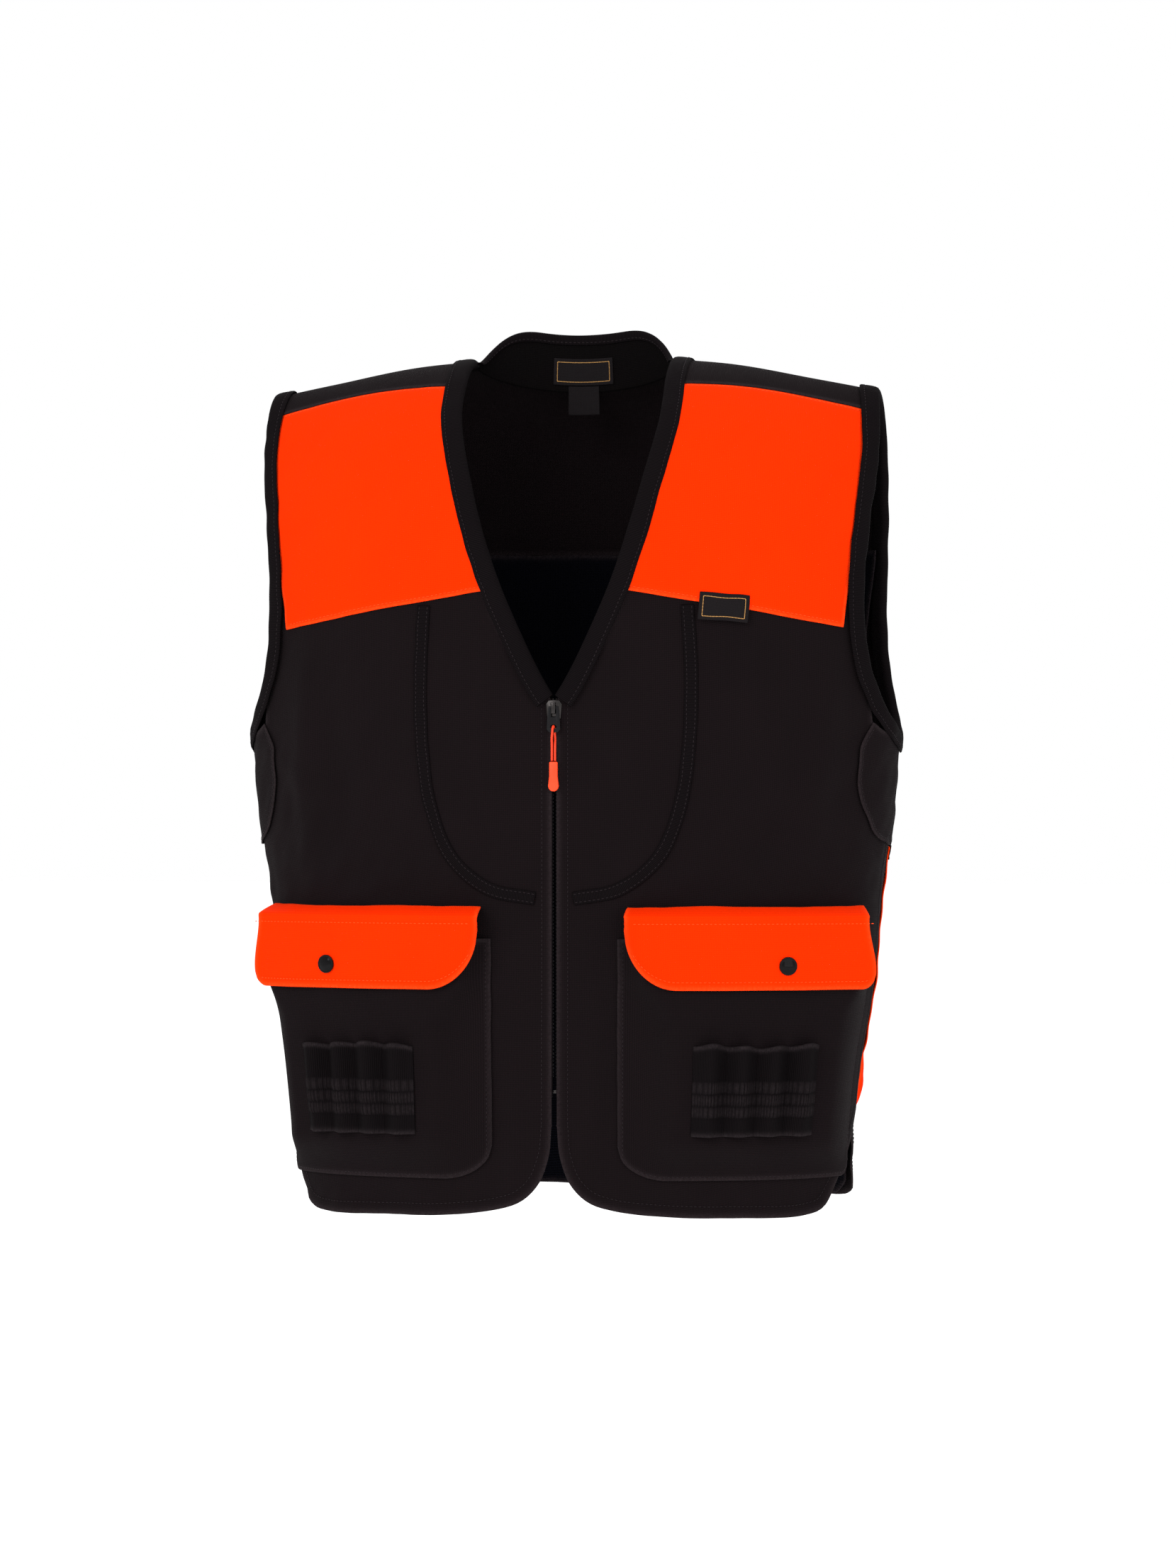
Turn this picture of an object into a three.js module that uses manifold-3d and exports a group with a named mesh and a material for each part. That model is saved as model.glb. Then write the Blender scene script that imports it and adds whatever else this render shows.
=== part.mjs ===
// Upland hunting vest: black canvas body with blaze orange shoulders, pocket flaps and game bag.
// Millimetres, +Z up, the wearer faces -Y, and the wearer's left is +X. The origin is the point
// between the shoulders where a hanger, or the wearer's neck, carries the vest.
import * as THREE from "three";
import { mergeVertices } from "three/addons/utils/BufferGeometryUtils.js";
import Module from "manifold-3d";

const wasm = await Module();
wasm.setup();

// ---------------------------------------------------------------- driving sizes
const HEM_DROP = 700;            // hem below the shoulder point
const CHEST_HALF = 268;          // half width of the body under the arms
const FRONT_DEPTH = 122;         // body plane at the arms to the front closure
const BACK_DEPTH = 112;          // body plane at the arms to the centre back
const SECTION_POWER = 2.4;       // how boxy the body's plan section is: 2 is an ellipse
const SHOULDER_ROUND = 165;      // height over which the body rounds on to the shoulder
const BACK_FULL = 1.35;          // how much sooner than the front the back fills out

const CLOTH = 1.2;               // canvas
const LAYER = 1.0;               // clear space between one sewn layer and the next
const BINDING_WIDTH = 14;
const TAPE_WIDTH = 10.5;         // curved chest tapes
const WEBBING_THICK = 0.9;
const NECK_HALF = 85;            // half width of the neck at the shoulder
const SHOULDER_HALF = CHEST_HALF - 18;       // half width at the shoulder tips
const SEAM_GAP = 1.2;            // between two pieces that meet edge to edge
const COLLAR_RISE = 46;          // centre back collar, from its seam to its top

const ZIP_TOP = -279;            // where the fronts meet, at the foot of the neckline
const ZIP_LENGTH = 320;
const ZIP_GAP = 4.4;             // between the two front edges
const TAPE_HALF = 14;            // centre line to the outer edge of a zip tape
const ZIP_TAPE = 0.8;
const TOOTH = 2.6;               // a tooth, front to back
const TOOTH_PITCH = 8;
const TOOTH_TIP = 0.9;           // centre line to the tooth tips, which the slider's post runs between
const TOOTH_ROOT = 3.4;
const SLIDER_LENGTH = 15;
const SLIDER_HALF = 6.5;
const SLIDER_PLATE = 1.4;
const POST_HALF = 0.5;
const RUN = 0.3;                 // running clearance of the zip's metal parts
const TAB_LENGTH = 20;
const TAB_HALF = 5.6;
const TAB_SHEET = 1.2;
const CORD_RADIUS = 0.95;
const CORD_DROP = 28;            // tab hole to the grip
const GRIP_LENGTH = 25;
const GRIP_HALF = 4.75;
const GRIP_THICK = 4;

const POCKET_INNER = 60;         // centre line to a pocket's front end
const POCKET_OUTER = CHEST_HALF - 8;        // centre line to a pocket's side end, at the flap
const POCKET_FOOT_OUTER = CHEST_HALF - 32;   // the same at the pocket's foot
const POCKET_FRONT = FRONT_DEPTH + 17;       // body plane to the pocket face at its front end
const POCKET_SIDE = FRONT_DEPTH - 50;        // body plane to the pocket face at its side end
const POCKET_BOW = 15;           // how far the pocket face bows out of its chord
const POCKET_FOOT = -669;
const POCKET_MOUTH = -474;
const FLAP_TOP = -455;
const FLAP_DEPTH = 59;
const FLAP_BAND = 7;             // sewn band above the flap's fold
const FLAP_OFF = 3.4;            // flap lining clear of the pocket face
const SNAP_ACROSS = 0.63;        // the snap's place along the flap, a share of its length
const SNAP_UP = 19;              // snap centre above the flap's lower edge
const CAP_RADIUS = 7.5;

const LOOPS = 4;                 // shell loops on each pocket
const LOOP_START = 0.27;         // along the pocket, a share of its length
const LOOP_END = 0.79;
const LOOP_TOP = -558;
const LOOP_FOOT = -632;
const LOOP_RISE = 11;

const BAG_TOP = -400;
const BAG_FOOT = -653;
const BAG_SWELL = 14;            // how far the game bag stands off the back
const BAG_EDGE = 101;            // side edge of the bag, degrees round from the front

// ---------------------------------------------------------------- small helpers
const rad = THREE.MathUtils.degToRad;
const mix = (a, b, k) => a + (b - a) * k;
const clamp = THREE.MathUtils.clamp;
const mixPoint = (a, b, k) => a.map((v, i) => mix(v, b[i], k));
const smooth = (k) => { const c = clamp(k, 0, 1); return c * c * (3 - 2 * c); };
const range = (n) => Array.from({ length: n + 1 }, (_, i) => i / n);

// A value read from a short list of [key, value] knots.
function knots(list, key) {
  if (key <= list[0][0]) return list[0][1];
  for (let i = 1; i < list.length; i++) {
    const [k0, v0] = list[i - 1];
    const [k1, v1] = list[i];
    if (key <= k1) return mix(v0, v1, (key - k0) / (k1 - k0));
  }
  return list[list.length - 1][1];
}

// ---------------------------------------------------------------- the body's form
// Half width of the body at a height: narrower towards the hem.
const waist = (z) => CHEST_HALF * knots(
  [[0, 0.866], [60, 0.868], [120, 0.888], [180, 0.925], [260, 0.952], [330, 0.985], [400, 1]],
  z + HEM_DROP);

// Height of the shoulder ridge at a distance from the centre line.
const ridge = (x) => knots(
  [[0, 6], [NECK_HALF, 3], [130, -1], [200, -14], [SHOULDER_HALF, -24], [CHEST_HALF, -28]],
  Math.abs(x));

const power = (v) => Math.sign(v) * Math.pow(Math.abs(v), 2 / SECTION_POWER);

// A point of the cloth's mid surface. phi is degrees round the body from the centre front
// towards +X, and drop is how far down the cloth from the shoulder ridge; a negative drop
// has gone over the ridge to the other side.
const SHOULDER_ARC = SHOULDER_ROUND * Math.PI / 2;

function body(phi, drop) {
  const turn = rad(drop < 0 ? 180 - phi : phi);
  const down = Math.abs(drop);
  const s = power(Math.sin(turn));
  const c = power(Math.cos(turn));
  const bend = Math.min(down / SHOULDER_ARC, 1) * Math.PI / 2;
  const fall = SHOULDER_ROUND * (1 - Math.cos(bend)) + Math.max(0, down - SHOULDER_ARC);
  const z = ridge(CHEST_HALF * s) - fall;
  const backBend = Math.min(bend * BACK_FULL, Math.PI / 2);
  const depth = c >= 0 ? FRONT_DEPTH * Math.sin(bend) : BACK_DEPTH * Math.sin(backBend);
  return [waist(z) * s, -c * depth, z];
}

// The pattern place [phi, drop] of the body point at x and z, on the front or the back.
function at(x, z, back = false) {
  const s = Math.pow(clamp(Math.abs(x) / waist(z), 0, 1), SECTION_POWER / 2);
  const quarter = THREE.MathUtils.radToDeg(Math.asin(s));
  const phi = Math.sign(x || 1) * (back ? 180 - quarter : quarter);
  const fall = Math.max(0, ridge(CHEST_HALF * power(s)) - z);
  const past = Math.max(0, fall - SHOULDER_ROUND);
  return [phi, SHOULDER_ROUND * Math.acos(1 - (fall - past) / SHOULDER_ROUND) + past];
}

// The same from degrees round the body and a height.
function round(phi, z) {
  const back = Math.abs(phi) > 90;
  const x = waist(z) * Math.abs(power(Math.sin(rad(phi)))) * Math.sign(phi);
  const [angle, drop] = at(x, z, back);
  return [Math.abs(phi) > 180 ? phi : angle, drop];
}

const vector = (p) => new THREE.Vector3(...p);

function normalAt(surface, a, b, stepA, stepB) {
  const across = vector(surface(a + stepA, b)).sub(vector(surface(a - stepA, b)));
  const down = vector(surface(a, b + stepB)).sub(vector(surface(a, b - stepB)));
  return down.cross(across).normalize();
}

const bodyNormal = (phi, drop) => normalAt(body, phi, drop, 0.4, 0.5);

// A body point moved out along the cloth's normal.
function lift(phi, drop, off) {
  return vector(body(phi, drop)).addScaledVector(bodyNormal(phi, drop), off).toArray();
}

// Steps along the cloth from a pattern place, for a real distance in a 3-D direction.
function walk(place, heading, distance) {
  let [phi, drop] = place;
  const steps = 4;
  for (let i = 0; i < steps; i++) {
    const here = vector(body(phi, drop));
    const across = vector(body(phi + 0.2, drop)).sub(here).multiplyScalar(5);
    const down = vector(body(phi, drop + 0.5)).sub(here).multiplyScalar(2);
    const goal = heading.clone().multiplyScalar(distance / steps);
    const aa = across.dot(across);
    const ab = across.dot(down);
    const bb = down.dot(down);
    const ga = goal.dot(across);
    const gb = goal.dot(down);
    const det = aa * bb - ab * ab;
    phi += (ga * bb - gb * ab) / det;
    drop += (gb * aa - ga * ab) / det;
  }
  return [phi, drop];
}

// ---------------------------------------------------------------- solids
const root = new THREE.Group();

function add(name, geometry, look, place = root) {
  const material = new THREE.MeshStandardMaterial(look);
  const mesh = new THREE.Mesh(geometry, material);
  mesh.name = name;
  place.add(mesh);
  return mesh;
}

const CANVAS = { color: 0x1c1618, roughness: 0.9, metalness: 0 };
const MESH_LINING = { color: 0x060609, roughness: 0.95, metalness: 0 };
const BLAZE = { color: 0xff3c00, roughness: 0.8, metalness: 0 };
const WEBBING = { color: 0x171214, roughness: 0.85, metalness: 0 };
const ELASTIC = { color: 0x1a1517, roughness: 0.9, metalness: 0 };
const DARK_METAL = { color: 0x2a2624, roughness: 0.35, metalness: 0.9 };
const DARK_PLASTIC = { color: 0x141214, roughness: 0.4, metalness: 0 };
const PULL_PLASTIC = { color: 0xff5530, roughness: 0.5, metalness: 0 };
const LABEL = { color: 0x191418, roughness: 0.7, metalness: 0 };

// A closed sheet on a grid of places: outer(s, t) and inner(s, t) give the two faces.
function sheet(across, up, outer, inner) {
  const columns = across.length;
  const rows = up.length;
  const points = [];
  for (const face of [outer, inner]) {
    for (const t of up) {
      for (const s of across) points.push(...face(s, t));
    }
  }
  const top = (i, j) => j * columns + i;
  const foot = (i, j) => top(i, j) + columns * rows;
  const index = [];
  const quad = (a, b, c, d) => index.push(a, b, c, a, c, d);
  for (let j = 0; j < rows - 1; j++) {
    for (let i = 0; i < columns - 1; i++) {
      quad(top(i, j), top(i + 1, j), top(i + 1, j + 1), top(i, j + 1));
      quad(foot(i, j), foot(i, j + 1), foot(i + 1, j + 1), foot(i + 1, j));
    }
  }
  for (let i = 0; i < columns - 1; i++) {
    quad(top(i + 1, 0), top(i, 0), foot(i, 0), foot(i + 1, 0));
    quad(top(i, rows - 1), top(i + 1, rows - 1), foot(i + 1, rows - 1), foot(i, rows - 1));
  }
  for (let j = 0; j < rows - 1; j++) {
    quad(top(0, j), top(0, j + 1), foot(0, j + 1), foot(0, j));
    quad(top(columns - 1, j + 1), top(columns - 1, j), foot(columns - 1, j), foot(columns - 1, j + 1));
  }
  const geometry = new THREE.BufferGeometry();
  geometry.setAttribute("position", new THREE.Float32BufferAttribute(points, 3));
  geometry.setIndex(index);
  return outwards(geometry);
}

// Turns a closed mesh inside out where its volume comes out negative.
function outwards(geometry) {
  const p = geometry.attributes.position;
  const index = geometry.index.array;
  const [a, b, c] = [new THREE.Vector3(), new THREE.Vector3(), new THREE.Vector3()];
  let volume = 0;
  for (let i = 0; i < index.length; i += 3) {
    a.fromBufferAttribute(p, index[i]);
    b.fromBufferAttribute(p, index[i + 1]);
    c.fromBufferAttribute(p, index[i + 2]);
    volume += a.dot(b.cross(c));
  }
  if (volume < 0) index.reverse();
  geometry.computeVertexNormals();
  return geometry;
}

// A place along a list of pattern points that each carry their own share of the way.
function along(list, t) {
  for (let i = 1; i < list.length; i++) {
    if (t <= list[i][0] || i === list.length - 1) {
      const k = (t - list[i - 1][0]) / (list[i][0] - list[i - 1][0]);
      return mixPoint(list[i - 1][1], list[i][1], clamp(k, 0, 1));
    }
  }
  return list[0][1];
}

// The same list with shares by distance walked on the body.
function paced(places) {
  let walked = 0;
  const marks = places.map((place, i) => {
    if (i) walked += vector(body(...place)).distanceTo(vector(body(...places[i - 1])));
    return walked;
  });
  return places.map((place, i) => [marks[i] / walked, place]);
}

// A rounder line through pattern places, with its own even shares.
function rounded(places, pieces = 40) {
  const curve = new THREE.CatmullRomCurve3(
    places.map(([phi, drop]) => new THREE.Vector3(phi * 4, drop, 0)), false, "centripetal");
  const even = range(pieces).map((t) => curve.getPoint(t)).map((p) => [p.x / 4, p.y]);
  return paced(even);
}

// A place inside four edges: foot and top run across, left and right run up.
function inside(edges, s, t) {
  const [foot, top, left, right] = edges;
  const f = along(foot, s);
  const h = along(top, s);
  const l = along(left, t);
  const r = along(right, t);
  const corners = [along(foot, 0), along(foot, 1), along(top, 0), along(top, 1)];
  return [0, 1].map((i) => mix(f[i], h[i], t) + mix(l[i], r[i], s)
    - mix(mix(corners[0][i], corners[1][i], s), mix(corners[2][i], corners[3][i], s), t));
}

// A cloth panel lying on the body, from off to off + thick.
function panel(edges, across, up, off, thick = CLOTH) {
  const face = (level) => (s, t) => lift(...inside(edges, s, t), level);
  return sheet(across, up, face(off + thick), face(off));
}

// A strip along a line of pattern places, from one side distance to another.
function strip(line, shares, from, to, off, thick = CLOTH) {
  const edge = (s, t) => {
    const place = along(line, s);
    const a = vector(body(...along(line, Math.max(0, s - 0.004))));
    const b = vector(body(...along(line, Math.min(1, s + 0.004))));
    const side = bodyNormal(...place).cross(b.sub(a)).normalize();
    return walk(place, side, mix(from, to, t));
  };
  const face = (level) => (s, t) => lift(...edge(s, t), level);
  return sheet(shares, [0, 1], face(off + thick), face(off));
}

// Shares of a line that crowd towards its two ends.
const crowded = (pieces) => range(pieces).map((k) => (1 - Math.cos(Math.PI * k)) / 2);

const BASE = -CLOTH / 2;                          // the body layer
const OVER = BASE + CLOTH + LAYER;                // patches, straps and side panels
const TOP = OVER + CLOTH + LAYER;                 // bindings over them
const UNDER = BASE - LAYER - CLOTH;               // the lining

// ---------------------------------------------------------------- body panels
const LOW_SIDE = -HEM_DROP + 83;                  // where the hem's round corner meets the side
const SIDE_FOOT = BAG_TOP + 6;                    // the point of the underarm panel, clear of the bag
const UNDERARM = -310;
const FRONT_EDGE = ZIP_GAP / 2;

const sided = (list, side) => list.map(([t, [phi, drop]]) => [t, [phi * side, drop]]);

const hem = (z) => -HEM_DROP + z;

// The pattern place at a height that lies inset from the full half width of the body.
const flank = (inset, z, back = false) => at(CHEST_HALF - inset, z, back);

// Front edge of the armhole, from the shoulder tip down to under the arm.
const TIP_INSET = 16;
const armholeFront = [
  flank(TIP_INSET, -24), flank(15, -77), flank(20, -130), flank(24, -190), flank(22, -237),
  flank(15, -268), flank(6, -292), round(90, UNDERARM + 2)];
const armholeBack = [
  [180 - flank(TIP_INSET, -24)[0], 2], flank(14, -77, true), flank(14, -130, true),
  flank(15, -190, true), flank(14, -237, true), flank(10, -268, true), flank(4, -292, true),
  round(90, UNDERARM + 2)];
const armholeLine = [...armholeFront, ...armholeBack.slice(0, -1).reverse()];

// Neckline of the front, from the zip's top up to the shoulder.
const neckline = [
  at(FRONT_EDGE + 0.6, ZIP_TOP + 2), at(28, -230), at(53, -170), at(73, -100), at(84, -50),
  at(NECK_HALF, -14), [at(NECK_HALF, 3)[0], 3]];

const panelRows = [0, 0.04, 0.09, 0.15, 0.22, 0.29, 0.36, 0.43, 0.5, 0.56, 0.62, 0.68, 0.74,
  0.79, 0.84, 0.885, 0.92, 0.95, 0.975, 1];

// Shares of the way up that both long edges of a front panel use, by height.
function byHeight(places, low, high) {
  return places.map((place) => {
    const z = body(...place)[2];
    return [clamp(1 - Math.sqrt(clamp((high - z) / (high - low), 0, 1)) * 0.5
      - clamp((high - z) / (high - low), 0, 1) * 0.5, 0, 1), place];
  });
}

function frontPanel(side) {
  const foot = [[FRONT_EDGE, 75], [5, 48], [14, 26], [28, 13], [50, 6], [100, 1], [CHEST_HALF - 108, 0],
    [CHEST_HALF - 68, 1], [CHEST_HALF - 56, 6], [CHEST_HALF - 47, 24]].map(([x, z]) => at(x, hem(z)));
  const footLine = paced([...foot, round(83, hem(58)), round(89.9, LOW_SIDE)]);
  const neckInset = neckline.slice(1).map((place, i) => [place[0] + (i < 5 ? 2.2 : 1.2), place[1]]);
  const closure = range(8).map((k) => at(FRONT_EDGE, mix(hem(75), ZIP_TOP - 3, k)));
  const left = [...closure, at(9, ZIP_TOP + 10), ...neckInset];
  const armInset = armholeFront.slice(0, -1).map(([phi, drop]) => [phi - 3, drop]).reverse();
  const right = [round(89.9, LOW_SIDE), round(89.9, -520), round(89.9, SIDE_FOOT),
    flank(16, -375), flank(28, -310), ...armInset.slice(1)];
  const topLine = range(8).map((s) => mixPoint(left[left.length - 1], right[right.length - 1], s));
  const edges = [footLine, paced(topLine), byHeight(left, hem(75), 3), byHeight(right, LOW_SIDE, -24)];
  return panel(edges.map((edge) => sided(edge, side)), range(12), panelRows, BASE);
}

function sidePanel(side) {
  const foot = [round(86.5, SIDE_FOOT - 4), round(93.5, SIDE_FOOT - 4)];
  const left = [foot[0], flank(19.5, -380), flank(35, -318), flank(40, -280)];
  const right = [foot[1], flank(16, -380, true), flank(26, -318, true), flank(28, -280, true)];
  const top = [left[3], flank(16, -298), round(80, -306), round(90, -309), round(100, -306),
    flank(12, -298, true), right[3]];
  const edges = [paced(foot), paced(top), paced(left), paced(right)];
  return panel(edges.map((edge) => sided(edge, side)), range(16), range(6), OVER + 0.2);
}

// Back panels cross the centre back, so phi runs on from the +X side through 180 to the -X side.
const YOKE_SEAM = -152;

// Doubles half an edge about the centre back, where its last place lies.
const wholeBack = (half) => {
  const centre = [180, half[half.length - 1][1]];
  const places = half.slice(0, -1);
  return paced([...places, centre, ...places.slice().reverse().map(([phi, drop]) => [360 - phi, drop])]);
};

const yokeSeam = (z) => wholeBack(
  [CHEST_HALF - 16, CHEST_HALF - 42, CHEST_HALF - 68, 150, 100, 0.01].map((x) => at(x, z, true)));

function backPanel(off, inset, columns, rows) {
  const foot = wholeBack([round(90.1 + inset, hem(78)), round(96 + inset, hem(30)),
    round(104 + inset, hem(12)), round(140, hem(10)), round(179.99, hem(10))]);
  const seam = yokeSeam(YOKE_SEAM);
  const side = [foot[0][1], round(90.1 + inset, -520), round(90.1 + inset, SIDE_FOOT),
    flank(14, -375, true), flank(20, -310, true), flank(20, -268, true), flank(18, -220, true)]
    .map(([phi, drop], i) => [i < 3 ? phi : phi + inset, drop]);
  side.push(seam[0][1]);
  const right = side.map(([phi, drop]) => [360 - phi, drop]);
  const edges = [foot, seam, byHeight(side, LOW_SIDE, YOKE_SEAM), byHeight(right, LOW_SIDE, YOKE_SEAM)];
  return panel(edges, range(columns), range(rows), off);
}

// Neck hole of the back: the collar stands in it.
const NECK_BACK = -10;
const neckHole = [[NECK_HALF + 1, 1], [76, -4], [58, -8], [32, NECK_BACK], [0.01, NECK_BACK - 1]];

function backYoke() {
  const foot = yokeSeam(YOKE_SEAM + SEAM_GAP);
  const shoulder = [[180 - flank(22, -24)[0], 2], [180 - flank(68, -14)[0], 2], [180 - at(130, -1)[0], 2]];
  const hole = neckHole.map(([x, z]) => at(x, z, true));
  const top = wholeBack([...shoulder, ...hole]);
  const left = [foot[0][1], flank(18, -100, true), flank(18, -60, true), flank(19, -40, true), shoulder[0]];
  const right = left.map(([phi, drop]) => [360 - phi, drop]);
  const rows = [0, 0.25, 0.45, 0.6, 0.72, 0.82, 0.91, 1];
  return panel([foot, top, paced(left), paced(right)], range(20), rows, BASE);
}

// The strap that carries the yoke over the shoulder to the patch.
const PATCH_TOP = [at(NECK_HALF + 3, -21), at(130, -22), flank(88, -28), flank(24, -41)];
const strapColumns = range(9);
const strapRows = range(9);

function shoulderStrap(side) {
  const foot = rounded(PATCH_TOP.map(([phi, drop]) => [phi, drop - SEAM_GAP]));
  const back = PATCH_TOP.map(([phi]) => [phi, -42]);
  const left = [foot[0][1], [PATCH_TOP[0][0], -42]];
  const right = [foot[foot.length - 1][1], [PATCH_TOP[3][0], -42]];
  const edges = [foot, paced(back), paced(left), paced(right)];
  return panel(edges.map((edge) => sided(edge, side)), strapColumns, strapRows, OVER);
}

// Quilted recoil patch on the front of the shoulder.
function shoulderPatch(side) {
  const foot = rounded([at(54, -190), at(110, -199), flank(98, -209), flank(38, -220)]);
  const top = rounded(PATCH_TOP);
  const left = rounded([at(54, -190), at(68, -140), at(79, -90), at(86, -50), PATCH_TOP[0]]);
  const right = rounded([flank(38, -220), flank(32, -170), flank(27, -120), flank(24, -80), PATCH_TOP[3]]);
  const edges = [foot, top, left, right];
  return panel(edges.map((edge) => sided(edge, side)), strapColumns, range(10), OVER);
}

// ---------------------------------------------------------------- bindings, tapes, collar
function neckBinding(side) {
  const line = sided(rounded(neckline), side);
  const width = BINDING_WIDTH * -side;
  return strip(line, crowded(24), 0, width, TOP);
}

function armholeBinding(side) {
  const line = sided(rounded(armholeLine, 60), side);
  return strip(line, crowded(52), 0, -BINDING_WIDTH * side, TOP + 0.6);
}

function chestTape(side) {
  const line = rounded([at(108, -203), at(111, -260), at(109, -320), at(101, -370), at(83, -410),
    at(52, -434), at(TAPE_HALF + 2, -441)]);
  return strip(sided(line, side), range(18), -TAPE_WIDTH / 2, TAPE_WIDTH / 2, OVER, WEBBING_THICK);
}

// The collar stands in the neck hole: turn runs from the +X neck point round the back to -X.
const COLLAR_THICK = 2.4;
const COLLAR_DEPTH = 52;         // neck plane to the collar at the centre back

function collarPoint(turn, up) {
  const angle = rad(mix(0, 180, turn));
  const back = Math.sin(angle);
  const reach = Math.cos(angle);
  const half = NECK_HALF - 4.5 - 5 * up * back;
  const foot = mix(-2, NECK_BACK - 6, Math.pow(back, 1.5));
  const rise = mix(7, COLLAR_RISE, smooth(back * 1.12));
  return [half * reach, -3 + (COLLAR_DEPTH + 3 - 4 * up) * Math.pow(back, 0.8), foot + rise * up];
}

function collarFace(off) {
  return (s, t) => {
    const n = normalAt(collarPoint, clamp(s, 0.01, 0.99), clamp(t, 0.02, 0.98), 0.008, 0.01);
    return vector(collarPoint(s, t)).addScaledVector(n, off).toArray();
  };
}

function collarSheet(s0, s1, t0, t1, columns, rows, off, thick) {
  const place = (face) => (s, t) => face(mix(s0, s1, s), mix(t0, t1, t));
  return sheet(range(columns), range(rows), place(collarFace(off + thick)), place(collarFace(off)));
}

// ---------------------------------------------------------------- pockets
// Plan line of the pocket face at a height: a chord that bows out.
function pocketFace(side) {
  return (s, z) => {
    const grow = (z - POCKET_FOOT) / (FLAP_TOP - POCKET_FOOT);
    const outer = mix(POCKET_FOOT_OUTER, POCKET_OUTER, grow);
    const chord = new THREE.Vector2(outer - POCKET_INNER, POCKET_FRONT - POCKET_SIDE);
    const bow = 4 * s * (1 - s) * POCKET_BOW / chord.length();
    const x = POCKET_INNER + chord.x * s + chord.y * bow;
    const y = -POCKET_FRONT + chord.y * s - chord.x * bow;
    return [x * side, y, z];
  };
}

function faceNormal(side, s, z) {
  const n = normalAt(pocketFace(side), clamp(s, 0.01, 0.99), z, 0.01, 1);
  return n.y > 0 ? n.negate() : n;
}

function offFace(side, s, z, off) {
  return vector(pocketFace(side)(s, z)).addScaledVector(faceNormal(side, s, z), off).toArray();
}

// The pouch is sewn to the front along three sides and swells out to the pocket face.
function pocketPouch(side) {
  const sewn = OVER + 0.3;
  const footAt = (s) => POCKET_FOOT + 26 * Math.pow(clamp(1 - s / 0.12, 0, 1), 2)
    + 10 * Math.pow(clamp((s - 0.92) / 0.08, 0, 1), 2);
  const zAt = (s, t) => mix(footAt(s), POCKET_MOUTH, t);
  const seam = (s, z) => {
    const [inner] = at(52, z);
    return round(mix(inner, 78, s), z);
  };
  const face = (level) => (s, t) => {
    const z = zAt(s, t);
    const swell = smooth(s / 0.08) * smooth((1 - s) / 0.05) * smooth(t / 0.1);
    const [phi, drop] = seam(s, z);
    return mixPoint(lift(phi * side, drop, sewn + level), offFace(side, s, z, level), swell);
  };
  const columns = [0, 0.03, 0.08, 0.17, 0.27, 0.37, 0.47, 0.57, 0.67, 0.77, 0.87, 0.95, 0.975, 1];
  const rows = [0, 0.03, 0.065, 0.1, 0.3, 0.5, 0.7, 0.85, 1];
  return sheet(columns, rows, face(CLOTH / 2), face(-CLOTH / 2));
}

// The band sewn to the front above the flap's fold.
function flapBand(side) {
  const foot = FLAP_TOP + SEAM_GAP / 2;
  const place = (s, t, level) => {
    const [inner] = at(POCKET_INNER, foot);
    const [phi, drop] = round(mix(inner, 76, s), FLAP_TOP + FLAP_BAND);
    const sewn = lift(phi * side, drop, OVER + 0.3 + level);
    return mixPoint(offFace(side, s, foot, FLAP_OFF + level), sewn, t);
  };
  return sheet(range(12), [0, 0.5, 1], (s, t) => place(s, t, CLOTH), (s, t) => place(s, t, 0));
}

// The flap's lower edge: a wide round at its front end and a small one at its side end.
function flapFoot(s) {
  const front = clamp(1 - s / 0.15, 0, 1);
  const sideEnd = clamp((s - 0.95) / 0.05, 0, 1);
  const lift0 = 30 * (1 - Math.sqrt(1 - front * front));
  const lift1 = 11 * (1 - Math.sqrt(1 - sideEnd * sideEnd));
  return FLAP_TOP - FLAP_DEPTH + lift0 + lift1;
}

function pocketFlap(side) {
  const top = FLAP_TOP - SEAM_GAP / 2;
  const face = (level) => (s, t) => offFace(side, s, mix(flapFoot(s), top, t), FLAP_OFF + level);
  const columns = [0, 0.015, 0.045, 0.09, 0.15, 0.25, 0.35, 0.45, 0.55, 0.65, 0.75, 0.85, 0.95, 0.985, 1];
  return sheet(columns, range(3), face(CLOTH), face(0));
}

// Elastic loops for shotgun shells: one band, sewn down between the loops.
function shellLoops(side) {
  const rise = (s) => LOOP_RISE * Math.pow(Math.sin(Math.PI * LOOPS * s), 2);
  const face = (level) => (s, t) => {
    const z = mix(LOOP_FOOT, LOOP_TOP, t);
    const base = CLOTH / 2 + LAYER;
    return offFace(side, mix(LOOP_START, LOOP_END, s), z, base + rise(s) + level);
  };
  return sheet(range(LOOPS * 6), range(2), face(1.3), face(0));
}

// ---------------------------------------------------------------- snaps
// Turns a piece so that its +Z is the pocket face's normal at the snap.
function snapPlace(side) {
  const z = FLAP_TOP - FLAP_DEPTH + SNAP_UP;
  const place = new THREE.Group();
  place.position.set(...pocketFace(side)(SNAP_ACROSS, z));
  place.quaternion.setFromUnitVectors(new THREE.Vector3(0, 0, 1), faceNormal(side, SNAP_ACROSS, z));
  root.add(place);
  return place;
}

function turned(profile, segments = 20) {
  const lathe = new THREE.LatheGeometry(profile.map(([r, h]) => new THREE.Vector2(r, h)), segments);
  lathe.rotateX(Math.PI / 2);
  return closed(lathe);
}

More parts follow.
